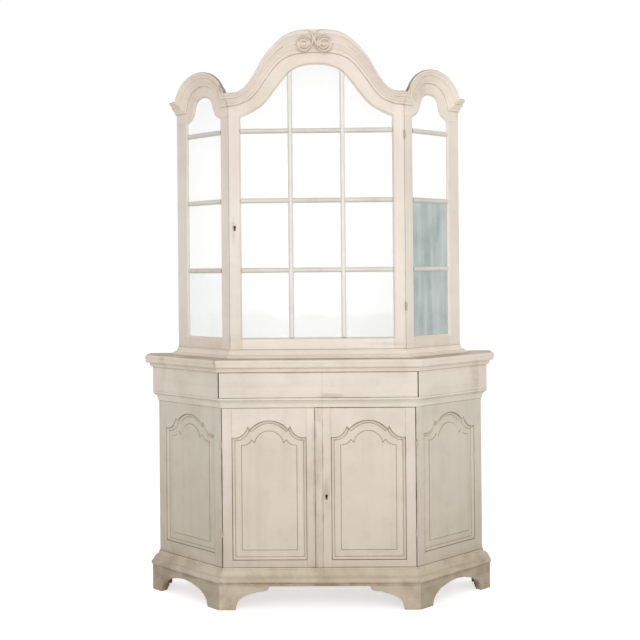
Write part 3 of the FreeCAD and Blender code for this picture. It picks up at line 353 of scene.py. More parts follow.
upright, level = (1.0, 1.0, 0.04), (0.04, 0.04, 1.0)
paints = {
    "paintUpper": {"Paint": tone(245, 235, 222), "Undercoat": tone(232, 219, 204), "Strokes": upright,
                   "Corner Dirt And Shade": 0.6, "Edge Wear": 0.25},
    "paintUpperLevel": {"Paint": tone(242, 231, 217), "Undercoat": tone(229, 215, 200), "Strokes": level,
                        "Corner Dirt And Shade": 0.5, "Edge Wear": 0.25},
    "paintDoorFoot": {"Paint": tone(253, 245, 234), "Undercoat": tone(243, 232, 218), "Strokes": level,
                      "Corner Dirt And Shade": 0.5, "Edge Wear": 0.25, "Top Dust And Shade": 0.3, "Top From": 0.5},
    "paintUpperBase": {"Paint": tone(248, 238, 224), "Undercoat": tone(233, 221, 205), "Strokes": level,
                       "Corner Dirt And Shade": 0.45, "Edge Wear": 0.25, "Top Dust And Shade": 0.4},
    "paintBars": {"Paint": tone(236, 231, 219), "Undercoat": tone(214, 208, 196),
                  "Strokes": (0.5, 0.5, 0.5), "Corner Dirt And Shade": 0.85, "Edge Wear": 0.35},
    "paintUprightBars": {"Paint": tone(249, 245, 237), "Undercoat": tone(236, 230, 221),
                         "Strokes": (0.5, 0.5, 0.5), "Corner Dirt And Shade": 0.7, "Edge Wear": 0.3},
    "paintCrown": {"Paint": tone(240, 226, 213), "Undercoat": tone(227, 210, 194),
                   "Strokes": (0.3, 0.3, 0.3), "Corner Dirt And Shade": 0.5, "Edge Wear": 0.45,
                   "Top Dust And Shade": 0.8, "Top From": 0.2},
    # Painted light: the side crowns' paint is a lighter copy of the crown's, to brighten faces that the
    # lamps light less
    "paintSideCrown": {"Paint": tone(250, 239, 224), "Undercoat": tone(235, 220, 202),
                       "Strokes": (0.3, 0.3, 0.3), "Corner Dirt And Shade": 0.55, "Edge Wear": 0.6,
                       "Top Dust And Shade": 0.9, "Top From": 0.15},
    "paintTable": {"Paint": tone(241, 230, 215), "Undercoat": tone(223, 212, 196), "Strokes": level,
                   "Corner Dirt And Shade": 0.6, "Edge Wear": 0.45},
    "paintWaist": {"Paint": tone(243, 233, 218), "Undercoat": tone(225, 215, 198), "Strokes": level,
                   "Corner Dirt And Shade": 1.0, "Edge Wear": 0.45, "Top Dust And Shade": 0.4},
    "paintSlab": {"Paint": tone(242, 230, 215), "Undercoat": tone(222, 210, 193), "Strokes": level,
                  "Corner Dirt And Shade": 0.7, "Edge Wear": 0.6, "Top Dust And Shade": 0.65},
    "paintLower": {"Paint": tone(241, 230, 215), "Undercoat": tone(224, 213, 197), "Strokes": upright,
                   "Corner Dirt And Shade": 0.85, "Edge Wear": 0.45, "Damp": 0.36},
    "paintRightDoor": {"Paint": tone(238, 227, 212), "Undercoat": tone(222, 210, 194), "Strokes": upright,
                       "Corner Dirt And Shade": 0.85, "Edge Wear": 0.45, "Damp": 0.26},
    # Painted shade: the cants' frames take a darker copy of the lower paint, for faces turned away from the
    # light
    "paintCantFrame": {"Paint": tone(228, 218, 203), "Undercoat": tone(208, 200, 181), "Strokes": upright,
                       "Corner Dirt And Shade": 0.6, "Edge Wear": 0.45, "Damp": 0.28},
    "paintPanel": {"Paint": tone(234, 223, 207), "Undercoat": tone(218, 207, 190), "Strokes": upright,
                   "Corner Dirt And Shade": 0.9, "Edge Wear": 0.05, "Damp": 0.15},
    # Painted shade: a darker copy of the door panels' paint, for the cant panels turned away from the light
    "paintCantPanel": {"Paint": tone(225, 215, 199), "Undercoat": tone(208, 200, 182), "Strokes": upright,
                       "Corner Dirt And Shade": 0.7, "Edge Wear": 0.05, "Damp": 0.2},
    "paintHinge": {"Paint": tone(206, 194, 176), "Undercoat": tone(176, 158, 134),
                   "Strokes": (1.0, 1.0, 0.3), "Corner Dirt And Shade": 0.9, "Edge Wear": 0.9},
    "paintBase": {"Paint": tone(223, 210, 192), "Undercoat": tone(197, 183, 161), "Strokes": level,
                  "Corner Dirt And Shade": 0.9, "Edge Wear": 0.7, "Floor Dirt": 0.62, "Top Dust And Shade": 0.4},
    "paintFeet": {"Paint": tone(196, 184, 164), "Undercoat": tone(178, 165, 144), "Strokes": level,
                  "Corner Dirt And Shade": 0.9, "Edge Wear": 0.8, "Floor Dirt": 0.55},
    "paintInside": {"Paint": tone(251, 252, 251), "Undercoat": tone(246, 248, 247), "Strokes": upright,
                    "Corner Dirt And Shade": 0.1, "Edge Wear": 0.0},
}
materials = {}
for name, values in paints.items():
    materials[name], tree, shader = newMaterial(name)
    surface = placeGroup(tree, paintGroup, shader, values, oldPaint)
    if name != "paintInside":
        # The stain mask: stains, and some painted shade lines
        stains = tree.nodes.new("ShaderNodeGroup")
        stains.node_tree = stainAndShadeGroup
        tree.links.new(stains.outputs["Mask"], surface.inputs["Stains And Shade"])

woods = {
    "bareWood": {"Light": tone(178, 142, 100), "Dark": tone(128, 94, 62), "Along": (1.0, 1.0, 0.05)},
    "bareWoodLevel": {"Light": tone(182, 148, 108), "Dark": tone(132, 98, 66), "Along": (0.05, 1.0, 1.0)},
}
for name, values in woods.items():
    materials[name], tree, shader = newMaterial(name)
    placeGroup(tree, grainGroup, shader, values, oldWood)


# Old glass. Wave is how deep its ripples are, through is the share of light that it lets past, and
# gleam is painted light, a glow in its own colour though the glass is no lamp. A hazy pane has a film with
# upright streaks over it

glassKinds = {
    "windowGlass": {"color": (254, 255, 255), "wave": 0.0012, "through": 0.6, "gleam": 0.08},
    "sideGlass": {"color": (254, 255, 255), "wave": 0.0012, "through": 0.5, "gleam": 0.17},
    "shelfGlass": {"color": (250, 254, 252), "wave": 0.0004, "through": 0.95, "gleam": 0.0},
    "hazyGlass": {"color": (252, 254, 254), "wave": 0.002, "through": 0.6, "gleam": 0.0,
                  "film": (208, 220, 217), "streak": (162, 178, 174), "clear": 0.25},
    "faintGlass": {"color": (252, 254, 254), "wave": 0.002, "through": 0.6, "gleam": 0.22,
                   "film": (251, 254, 254), "streak": (238, 244, 246), "clear": 0.78},
}
glassLook = {
    "bending": 1.45, "ripples": (7.0, 2.0, 0.5), "bump": 0.5, "filmRoughness": 0.35,
    "streaks": (30.0, 3.0, 0.6), "upright": (1.0, 1.0, 0.06), "smears": (9.0, 3.0, 0.6),
    "streakRamp": (0.35, 0.65, 0.0, 0.6), "smearRamp": (0.4, 0.7, 0.0, 0.4),
    "clearRamp": (0.3, 0.7), "clearSwing": 0.06,
}


def makeGlass(name, kind):
    material, tree, shader = newMaterial(name)
    color = tone(*kind["color"])
    shader.inputs["Base Color"].default_value = color
    shader.inputs["Transmission Weight"].default_value = kind["through"]
    shader.inputs["Roughness"].default_value = 0.0
    shader.inputs["IOR"].default_value = glassLook["bending"]
    # Painted light: the glass glows with its own colour
    shader.inputs["Emission Color"].default_value = color
    shader.inputs["Emission Strength"].default_value = kind["gleam"]
    where = tree.nodes.new("ShaderNodeTexCoord").outputs["Object"]
    ripples = noiseAt(tree, where, *glassLook["ripples"])
    bump = addNode(tree, "ShaderNodeBump", Strength=glassLook["bump"], Distance=kind["wave"])
    tree.links.new(ripples, bump.inputs["Height"])
    tree.links.new(bump.outputs["Normal"], shader.inputs["Normal"])
    clear = tree.nodes.new("ShaderNodeBsdfTransparent")  # for lamp light on its way to the inside
    path = tree.nodes.new("ShaderNodeLightPath")
    mix = tree.nodes.new("ShaderNodeMixShader")
    inward = mathNode(tree, "MAXIMUM", path.outputs["Is Shadow Ray"], path.outputs["Is Diffuse Ray"])
    tree.links.new(inward, mix.inputs[0])
    tree.links.new(shader.outputs[0], mix.inputs[1])
    tree.links.new(clear.outputs[0], mix.inputs[2])
    seen = addFilm(tree, kind, mix.outputs[0]) if "film" in kind else mix.outputs[0]
    tree.links.new(seen, tree.nodes["Material Output"].inputs["Surface"])
    return material


def addFilm(tree, kind, through):
    look = glassLook
    film = tree.nodes.new("ShaderNodeBsdfPrincipled")
    film.inputs["Roughness"].default_value = look["filmRoughness"]
    where = tree.nodes.new("ShaderNodeTexCoord").outputs["Object"]
    streaks = noiseAt(tree, where, *look["streaks"], stretch=look["upright"])
    smears = noiseAt(tree, where, *look["smears"])
    mask = mathNode(tree, "ADD", ramp(tree, streaks, *look["streakRamp"]),
                    ramp(tree, smears, *look["smearRamp"]))
    color = mixColors(tree, mask, tone(*kind["film"]), tone(*kind["streak"]))
    tree.links.new(color, film.inputs["Base Color"])
    mix = tree.nodes.new("ShaderNodeMixShader")
    most, least = kind["clear"] + look["clearSwing"], kind["clear"] - look["clearSwing"]
    tree.links.new(ramp(tree, smears, *look["clearRamp"], most, least), mix.inputs[0])
    tree.links.new(film.outputs[0], mix.inputs[1])
    tree.links.new(through, mix.inputs[2])
    return mix.outputs[0]


for name, kind in glassKinds.items():
    materials[name] = makeGlass(name, kind)


# Metal parts of the locks, dulled in spots

metals = {
    "lockIron": {"color": tone(74, 66, 58), "roughness": 0.45, "metallic": 0.9},
    "brass": {"color": tone(196, 158, 98), "roughness": 0.32, "metallic": 1.0},
    "keyBrass": {"color": tone(132, 100, 66), "roughness": 0.5, "metallic": 0.6},
}
metalSpots = {"spots": (160.0, 4.0, 0.65), "dark": 0.35, "darkRamp": (0.4, 0.7), "roughRamp": (0.3, 0.7),
              "roughSwing": 0.25, "bump": 0.4, "bumpHeight": 0.0002}


def makeMetal(name, metal):
    material, tree, shader = newMaterial(name)
    look = metalSpots
    where = tree.nodes.new("ShaderNodeTexCoord").outputs["Object"]
    spots = noiseAt(tree, where, *look["spots"])
    dark = tuple(look["dark"] * part for part in metal["color"][:3]) + (1.0,)
    color = mixColors(tree, ramp(tree, spots, *look["darkRamp"]), metal["color"], dark)
    tree.links.new(color, shader.inputs["Base Color"])
    smooth, dull = metal["roughness"], metal["roughness"] + look["roughSwing"]
    tree.links.new(ramp(tree, spots, *look["roughRamp"], smooth, dull), shader.inputs["Roughness"])
    shader.inputs["Metallic"].default_value = metal["metallic"]
    bump = addNode(tree, "ShaderNodeBump", Strength=look["bump"], Distance=look["bumpHeight"])
    tree.links.new(spots, bump.inputs["Height"])
    tree.links.new(bump.outputs["Normal"], shader.inputs["Normal"])
    return material


for name, metal in metals.items():
    materials[name] = makeMetal(name, metal)
print("materials made:", len(materials))


# Turning a bmesh into a finished piece

def finishPiece(name, bm, material, body, replaced=(), smoothAngle=40.0):
    bmesh.ops.recalc_face_normals(bm, faces=bm.faces)
    mesh = bpy.data.meshes.new(name)
    bm.to_mesh(mesh)
    bm.free()
    piece = bpy.data.objects.new(name, mesh)
    scene.collection.objects.link(piece)
    for one in material if isinstance(material, (list, tuple)) else [material]:
        mesh.materials.append(materials[one])
    mesh.polygons.foreach_set("use_smooth", [True] * len(mesh.polygons))
    mesh.set_sharp_from_angle(angle=math.radians(smoothAngle))
    even = piece.modifiers.new("evenShading", "WEIGHTED_NORMAL")
    even.keep_sharp = True
    even.weight = 100
    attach(piece, body)
    if replaced:
        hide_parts(*replaced)


# Loose corners join within a few micrometres, faces within half a degree count as flat, edges past
# the sharp angle get rounded, and the rounding may change a board's volume by the loss at most
easing = {"joinWithin": 0.000004, "flat": 0.5, "sharp": 24.0, "segments": 2, "loss": 0.04}


def corner(vert):
    return tuple(round(value, 6) for value in vert.co)


def boardsOf(node):  # a node's separate boards, each with its own corners joined up
    whole = bmesh.new()
    whole.from_mesh(nodes[node].data)
    whole.faces.ensure_lookup_table()
    openEdges, group, groups = set(), [], []
    for face in whole.faces:
        ends = [corner(vert) for vert in face.verts]
        for start, end in zip(ends, ends[1:] + ends[:1]):
            if (end, start) in openEdges:
                openEdges.remove((end, start))
            else:
                openEdges.add((start, end))
        group.append(face.index)
        if not openEdges:
            groups.append(set(group))
            group = []
    if group:
        groups.append(set(group))
    boards = []
    for group in groups:
        board = whole.copy()
        bmesh.ops.delete(board, geom=[face for face in board.faces if face.index not in group],
                         context="FACES")
        bmesh.ops.remove_doubles(board, verts=board.verts, dist=easing["joinWithin"])
        boards.append(board)
    whole.free()
    return boards


def mergeFlats(board):
    bmesh.ops.dissolve_limit(board, angle_limit=math.radians(easing["flat"]), verts=board.verts,
                             edges=board.edges)


def easedBoard(board, width):  # rounds what hands and cloths have rubbed
    plain = board.copy()
    volume = board.calc_volume()
    mergeFlats(board)
    edges = [edge for edge in board.edges if len(edge.link_faces) == 2
             and edge.calc_face_angle(0.0) > math.radians(easing["sharp"])]
    bmesh.ops.bevel(board, geom=edges, offset=width, offset_type="OFFSET", affect="EDGES",
                    segments=easing["segments"], profile=0.5, material=-1, clamp_overlap=True)
    closed = all(edge.is_manifold for edge in board.edges)
    if closed and abs(board.calc_volume() - volume) < easing["loss"] * volume + 1e-7:
        plain.free()
        return board
    board.free()
    return plain  # a board whose outline is too fine for it keeps its plain edges


def joinBoards(boards):
    joined = bmesh.new()
    for board in boards:
        mesh = bpy.data.meshes.new("loose")
        board.to_mesh(mesh)
        board.free()
        joined.from_mesh(mesh)
        bpy.data.meshes.remove(mesh)
    return joined


# Boards and frames that keep their shape: the finish of each, and how far its edges are rounded

boardFinish = {
    "upper_posts": ("paintUpper", 0.0012), "upper_sides": ("paintUpper", 0.0012),
    "upper_cant_rails": ("paintUpperLevel", 0.001), "upper_cant_heads": ("paintSideCrown", 0.001),
    "front_head": ("paintCrown", 0.001), "upper_door_stiles": ("paintUpper", 0.0012),
    "upper_door_bottom_rail": ("paintDoorFoot", 0.001),
    "upper_door_arched_rail": ("paintUpperLevel", 0.001),
    "upper_door_upright_bars": ("paintUprightBars", 0.0008),
    "upper_door_cross_bars": ("paintBars", 0.0008),
    "cant_glazing_bars": ("paintBars", 0.0008),
    "upper_back": ("paintInside", 0.0015), "display_floor": ("paintInside", 0.001),
    "roof_boards": ("paintInside", 0.001), "shelf_battens": ("paintInside", 0.001),
    "door_stops": ("paintUpper", 0.001),
    "centre_cornice": ("paintCrown", 0.001), "side_cornices": ("paintSideCrown", 0.001),
    "upper_base_moulding": ("paintUpperBase", 0.0008), "slab_edging": ("paintSlab", 0.0005),
    "waist_slab": ("paintSlab", 0.001), "bed_moulding": ("paintSlab", 0.0008),
    "frieze_boards": ("paintTable", 0.0012), "drawer_front": ("paintTable", 0.0008),
    "waist_moulding": ("paintWaist", 0.0005),
    "lower_cant_frames": ("paintCantFrame", 0.0012),
    "left_door_frame": ("paintLower", 0.0012), "right_door_frame": ("paintRightDoor", 0.0012),
    "astragal": ("paintLower", 0.001), "lower_sides": ("paintCantFrame", 0.0012),
    "base_moulding": ("paintBase", 0.001), "front_plinth": ("paintBase", 0.002),
    "side_plinths": ("paintFeet", 0.002), "back_plinth": ("bareWoodLevel", 0.0015),
    "foot_blocks": ("bareWood", 0.002), "lower_back": ("bareWood", 0.0015),
    "lower_posts": ("bareWood", 0.001), "cupboard_floor": ("bareWoodLevel", 0.001),
    "cupboard_shelf": ("bareWoodLevel", 0.0015), "shelf_cleats": ("bareWoodLevel", 0.001),
    "dust_board": ("bareWoodLevel", 0.001), "drawer_box": ("bareWoodLevel", 0.001),
    "drawer_bottom": ("bareWoodLevel", 0.0008), "drawer_guides": ("bareWoodLevel", 0.001),
    "upper_door_lock": ("lockIron", 0.0006), "right_door_lock": ("lockIron", 0.0006),
    "upper_door_bolt": ("brass", 0.0005), "right_door_bolt": ("brass", 0.0005),
    "display_shelves": ("shelfGlass", 0.0008),
}
nodeBodies = {member: body for body, members in frame["record"]["behaviour"]["bodies"].items()
              for member in members}


def camelName(node):
    words = node.split("_")
    return words[0] + "".join(word.capitalize() for word in words[1:])


# How far age has moved the edges of the cupboard doors, which opens or closes the cracks round them
edgeReach = 0.0002
doorWear = {
    "left_door_frame": {"left": 0.002, "right": 0.0017, "foot": -0.0011, "head": 0.0004},
    "right_door_frame": {"right": -0.0022, "foot": -0.0009, "head": -0.0006},
}


def moveEdges(node, boards):
    low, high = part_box(node)
    edges = {"left": (0, low), "right": (0, high), "foot": (2, low), "head": (2, high)}
    verts = [vert for board in boards for vert in board.verts]
    for name, shift in doorWear[node].items():
        axis, end = edges[name]
        for vert in [vert for vert in verts if abs(vert.co[axis] - end[axis]) < edgeReach]:
            vert.co[axis] += shift


def easedPiece(node, material, width):
    boards = boardsOf(node)
    if node in doorWear:
        moveEdges(node, boards)
    boards = [easedBoard(board, width) for board in boards]
    finishPiece(camelName(node), joinBoards(boards), material, nodeBodies[node], [node])


for node, (material, width) in boardFinish.items():
    easedPiece(node, material, width)
print("boards and frames finished:", len(boardFinish))


# Surfaces carried from ring to ring

hoopJoin = 0.0000005


def firstRing(bm, places):
    made = bmesh.ops.create_circle(bm, cap_ends=False, segments=len(places), radius=1.0)
    verts = sorted(made["verts"], key=lambda vert: math.atan2(vert.co.y, vert.co.x) % (2.0 * math.pi))
    for vert, place in zip(verts, places):
        vert.co = place
    return verts


def ringEdges(verts):
    around = set(verts)
    return list({edge for vert in verts for edge in vert.link_edges if edge.other_vert(vert) in around})


def nextRing(bm, verts, places):
    around = set(verts)
    made = bmesh.ops.extrude_edge_only(bm, edges=ringEdges(verts))
    partner = {}
    for vert in made["geom"]:
        if isinstance(vert, bmesh.types.BMVert):
            for edge in vert.link_edges:
                if edge.other_vert(vert) in around:
                    partner[edge.other_vert(vert)] = vert
    following = [partner[vert] for vert in verts]
    for vert, place in zip(following, places):
        vert.co = place
    return following


def ringSurface(bm, rings, closeUp=False):  # capped at both ends, or joined round into a hoop
    first = firstRing(bm, rings[0])
    verts = first
    for ring in rings[1:]:
        verts = nextRing(bm, verts, ring)
    if closeUp:
        nextRing(bm, verts, rings[0])
        bmesh.ops.remove_doubles(bm, verts=bm.verts, dist=hoopJoin)
    else:
        bmesh.ops.contextual_create(bm, geom=first + ringEdges(first))
        bmesh.ops.contextual_create(bm, geom=verts + ringEdges(verts))


# Raised panels: a planted moulding round the opening, a sloped margin and a flat field.
# The outlines of border and field are shares of the half width and of the arch's rise. The bead's and
# the field edge's points are how far in and how deep, and the slope's are its share and how deep

panel = {
    "border": ((0.87, 0.0), (0.574, 0.65), (0.502, 0.5)),
    "field": ((0.96, 0.0), (0.636, 0.364), (0.52, 0.154)),
    "steps": {"side": 12, "shoulder": 2, "cove": 9, "ear": 3, "arch": 30, "foot": 8}, "steepBow": 0.3,
    "coveBow": -0.145, "doorRise": 0.071, "cantRise": 0.074, "lap": 0.009, "beadWidth": 0.015,
    "fieldIn": 0.0415, "fieldUp": 0.043, "shoulderDown": 0.033, "crownDown": 0.045,
    "bead": ((0.0, 0.0155), (0.0004, 0.0058), (0.0013, 0.0052), (0.0019, 0.003), (0.0029, 0.002),
             (0.0042, 0.0021), (0.0049, 0.0029), (0.0052, 0.0044), (0.0064, 0.0048), (0.0082, 0.0058),
             (0.0098, 0.0072), (0.0112, 0.0091), (0.0118, 0.0108), (0.0126, 0.0119), (0.0134, 0.0118),
             (0.014, 0.0107), (0.015, 0.0101)),
    "slope": ((0.04, 0.0099), (0.3, 0.0092), (0.6, 0.0081), (0.84, 0.0072), (0.92, 0.0072), (0.94, 0.009),
              (0.985, 0.009)),
    "fieldEdge": ((0.0, 0.0058), (0.0002, 0.0046), (0.0012, 0.0041), (0.004, 0.004)),
    "boardDepth": (0.0151, 0.0179),
}
plan = {"doorFace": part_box("left_door_frame")[0].y, "glazedFace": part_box("upper_door_stiles")[0].y,
        "doorHalf": 0.405, "cantStile": 0.048}
cantLength = (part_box("lower_cant_frames")[1].x - plan["doorHalf"]) * math.sqrt(2.0)


def bowed(start, end, bow, count):  # points along an arc, without its end
    (x0, z0), (x1, z1) = start, end
    across, upward = x1 - x0, z1 - z0
    points = []
    for index in range(count):
        share = index / count
        lift = 4.0 * bow * share * (1.0 - share)
        if bow > panel["steepBow"]:  # part of a true circle
            radius = (bow + 0.25 / bow) / 2.0
            lift = math.sqrt(radius * radius - (share - 0.5) ** 2) - radius + bow
        points.append((x0 + across * share + upward * lift, z0 + upward * share - across * lift))
    return points


def panelLine(shape, half, foot, shoulder, crown):  # up from the right foot and round to it again
    rise = crown - shoulder
    flat, ear, notch = [(half * across, shoulder + rise * up) for across, up in shape]
    arch = (crown - notch[1]) / (2.0 * notch[0])
    steps = panel["steps"]
    right = [((half, foot), (half, shoulder), 0.0, steps["side"]),
             ((half, shoulder), flat, 0.0, steps["shoulder"]),
             (flat, ear, panel["coveBow"], steps["cove"]), (ear, notch, 0.0, steps["ear"])]
    left = [((-endX, endZ), (-startX, startZ), bow, count)
            for (startX, startZ), (endX, endZ), bow, count in reversed(right)]
    top = (notch, (-notch[0], notch[1]), arch, steps["arch"])
    bottom = ((-half, foot), (half, foot), 0.0, steps["foot"])
    points = []
    for start, end, bow, count in right + [top] + left + [bottom]:
        points += bowed(start, end, bow, count)
    return points


def raisedPanel(half, foot, crown, rise, place):  # place turns across, depth, height into the room
    bm = bmesh.new()
    shoulder = crown - rise
    inner = panel["beadWidth"]

    def field(extra):
        return panelLine(panel["field"], half - panel["fieldIn"] - extra, foot + panel["fieldUp"] + extra,
                         shoulder - panel["shoulderDown"] - extra, crown - panel["crownDown"] - extra)

    lines = [(panelLine(panel["border"], half - step, foot + step, shoulder - step, crown - step), depth)
             for step, depth in panel["bead"]]
    margin = panelLine(panel["border"], half - inner, foot + inner, shoulder - inner, crown - inner)
    for share, depth in panel["slope"]:
        lines.append(([(a + (c - a) * share, b + (d - b) * share)
                       for (a, b), (c, d) in zip(margin, field(0.0))], depth))
    lines += [(field(step), depth) for step, depth in panel["fieldEdge"]]
    ringSurface(bm, [[place @ Vector((x, depth, z)) for x, z in line] for line, depth in lines])
    near, far = panel["boardDepth"]
    lap = panel["lap"]
    size = Vector((2.0 * (half + lap), far - near, crown - foot + 2.0 * lap))
    middle = Vector((0.0, (near + far) / 2.0, (crown + foot) / 2.0))
    bmesh.ops.create_cube(bm, size=1.0, matrix=place @ Matrix.Translation(middle)
                          @ Matrix.Diagonal(size.to_4d()))
    return bm


def doorPanel(node):
    low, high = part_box(node)
    half = (high.x - low.x) / 2.0 - panel["lap"]
    place = Matrix.Translation(((low.x + high.x) / 2.0, plan["doorFace"], 0.0))
    bm = raisedPanel(half, low.z + panel["lap"], high.z - panel["lap"], panel["doorRise"], place)
    finishPiece(camelName(node), bm, "paintPanel", nodeBodies[node], [node],
                smoothAngle=30.0)


def cantPlace(side):  # the middle of a lower cant, looking at it squarely
    out = cantLength / 2.0 / math.sqrt(2.0)
    middle = Matrix.Translation((side * (plan["doorHalf"] + out), plan["doorFace"] + out, 0.0))
    return middle @ Matrix.Rotation(side * math.radians(45.0), 4, "Z")


def cantPanels(node):
    low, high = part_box(node)
    half = cantLength / 2.0 - plan["cantStile"]
    boards = [raisedPanel(half, low.z + panel["lap"], high.z - panel["lap"], panel["cantRise"],
                          cantPlace(side)) for side in (-1.0, 1.0)]
    finishPiece(camelName(node), joinBoards(boards), "paintCantPanel", nodeBodies[node],
                [node], smoothAngle=30.0)


doorPanel("left_door_panel")
doorPanel("right_door_panel")
cantPanels("lower_cant_panels")
print("panels made")


# Olive hinges: the barrels thin out towards their ends

hinges = {"length": 0.0365, "barrel": 0.0047, "rings": 7, "ringSpare": 0.3, "endWidth": 0.42,
          "levels": {"left_door_hinge": (0.311, 0.679), "right_door_hinge": (0.311, 0.679),
                     "upper_door_hinge": (1.250, 1.970)}}
jointPlaces = {joint["name"]: joint["pos_m"] for joint in frame["record"]["behaviour"]["joints"]
               if joint["type"] == "hinge"}
hingePins = [Vector((*jointPlaces[joint][:2], level))
             for joint, levels in hinges["levels"].items() for level in levels]


def oliveHinge(node):
    boards = boardsOf(node)
    for board in boards:
        middle = sum((vert.co for vert in board.verts), Vector()) / len(board.verts)
        pin = min(hingePins, key=lambda spot: (spot - middle).length)
        mergeFlats(board)
        spacing = hinges["length"] / 2.0 / (hinges["rings"] + hinges["ringSpare"])
        for index in range(-hinges["rings"], hinges["rings"] + 1):
            bmesh.ops.bisect_plane(board, geom=board.verts[:] + board.edges[:] + board.faces[:],
                                   dist=0.000001, plane_co=pin + Vector((0.0, 0.0, index * spacing)),
                                   plane_no=(0.0, 0.0, 1.0))
        for vert in board.verts:
            arm = vert.co - pin
            share = min(1.0, abs(arm.z) / (hinges["length"] / 2.0))
            if math.hypot(arm.x, arm.y) < hinges["barrel"]:
                width = math.sqrt(1.0 - (1.0 - hinges["endWidth"] ** 2) * share * share)
                vert.co = pin + Vector((arm.x * width, arm.y * width, arm.z))
    finishPiece(camelName(node), joinBoards(boards), "paintHinge", nodeBodies[node],
                [node])


for node in ("case_hinge_leaves", "upper_door_hinges", "left_door_hinges", "right_door_hinges"):
    oliveHinge(node)


# Keyhole linings: a thin worn rim pressed into the stile

keyRim = {"radius": 0.004, "slot": 0.0018, "drop": 0.013, "steps": 26, "fromLockEdge": 0.009,
          "section": ((0.0021, 0.0006), (0.0021, -0.0003), (0.0016, -0.0008), (0.0008, -0.0009),
                      (0.0, -0.0006), (-0.0003, 0.0002), (-0.0003, 0.006), (0.0004, 0.006))}


def keyLine(grow):
    radius, slot = keyRim["radius"] + grow, keyRim["slot"] + grow
    start = -math.acos(slot / radius)
    steps = keyRim["steps"]
    turns = [start + (math.pi - 2.0 * start) * index / steps for index in range(steps + 1)]
    return ([(slot, -keyRim["drop"] - grow)]
            + [(radius * math.cos(turn), radius * math.sin(turn)) for turn in turns]
            + [(-slot, -keyRim["drop"] - grow)])


def keyholeRim(name, lock, edge, face):  # edge is the lock's side that the keyhole is near
    low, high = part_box(lock)
    x = low.x + keyRim["fromLockEdge"] if edge == "left" else high.x - keyRim["fromLockEdge"]
    z = (low.z + high.z) / 2.0
    bm = bmesh.new()
    ringSurface(bm, [[Vector((x + across, face + depth, z + up)) for across, up in keyLine(grow)]
                     for grow, depth in keyRim["section"]], closeUp=True)
    finishPiece(name, bm, "keyBrass", nodeBodies[lock])


keyholeRim("upperKeyholeRim", "upper_door_lock", "left", plan["glazedFace"])
keyholeRim("lowerKeyholeRim", "right_door_lock", "right", plan["doorFace"])
print("hinges and keyholes made")


# Crown carving: two volutes with a raised spiral running to a round eye

# The volutes' scroll: a ridge winds out from the eye by one pitch each turn, settles on to the eye and
# fades towards the rim. Settle and rim are shares of the pitch
volute = {
    "apart": 0.042, "level": 0.031, "radii": (0.0308, 0.0338), "lean": (0.9, -0.35),
    "eye": 0.0078, "pitch": 0.0122, "ridge": 0.0052, "base": 0.0308, "back": -0.002, "wall": 0.0188,
    "across": 96, "steps": 48,
    "eyeFoot": 0.55, "eyeDome": 0.75, "ridgePower": 0.7, "settle": 0.35, "rim": 0.22, "rimKeeps": 0.4,
    "rimDrop": 0.35, "infillEdge": 0.001,
}
# The tail's line is how far out and how far below the top, and its widths are half its thickness
tail = {
    "line": ((0.0125, -0.074), (0.0065, -0.058), (0.0035, -0.043), (0.0045, -0.0295), (0.0095, -0.02),
             (0.0185, -0.0105), (0.031, -0.0048), (0.052, -0.0038)),
    "widths": (0.0014, 0.0034, 0.004, 0.004, 0.0038, 0.0036, 0.0028, 0.0012),
    "faces": 12, "steps": 7, "proud": 1.2,
}


def voluteHeight(radius, turn, outer):
    eye, pitch = volute["eye"], volute["pitch"]
    if radius < eye:
        dome = math.sqrt(max(0.0, 1.0 - (radius / eye) ** 2))
        return volute["ridge"] * (volute["eyeFoot"] + volute["eyeDome"] * dome)
    phase = (radius - eye) / pitch - turn / (2.0 * math.pi)
    wave = 0.5 - 0.5 * math.cos(2.0 * math.pi * (phase % 1.0))
    settle = min(1.0, (radius - eye) / (volute["settle"] * pitch))
    rim = min(1.0, max(0.0, (outer - radius) / (volute["rim"] * pitch)))
    ridge = wave ** volute["ridgePower"] * settle * (volute["rimKeeps"] + (1.0 - volute["rimKeeps"]) * rim)
    return volute["ridge"] * (ridge + volute["eyeFoot"] * (1.0 - settle) - volute["rimDrop"] * (1.0 - rim))


def voluteMesh(centre, outer, hand, lean):
    bm = bmesh.new()
    angles = [2.0 * math.pi * index / volute["across"] for index in range(volute["across"])]

    def spot(angle, radius, height):
        return Vector((centre.x + radius * math.cos(angle), centre.y - height,
                       centre.z + radius * math.sin(angle)))

    rings = [[spot(angle, outer, depth) for angle in angles] for depth in (volute["back"], volute["wall"])]
    for step in range(volute["steps"]):
        radius = outer * (1.0 - step / volute["steps"])
        ring = []
        for angle in angles:
            turn = (hand * angle + lean) % (2.0 * math.pi)
            ring.append(spot(angle, radius, volute["base"] + voluteHeight(radius, turn, outer)))
        rings.append(ring)
    ringSurface(bm, rings)
    return bm


def smoothRun(points, steps):  # a curve through the points, with so many steps from one to the next
    run = []
    for index in range(len(points) - 1):
        before, start = Vector(points[max(index - 1, 0)]), Vector(points[index])
        end, after = Vector(points[index + 1]), Vector(points[min(index + 2, len(points) - 1)])
        for step in range(steps):
            share = step / steps
            bend = (2.0 * before - 5.0 * start + 4.0 * end - after) * share * share
            twist = (3.0 * start - before - 3.0 * end + after) * share ** 3
            run.append(0.5 * (2.0 * start + (end - before) * share + bend + twist))
    return run + [Vector(points[-1])]


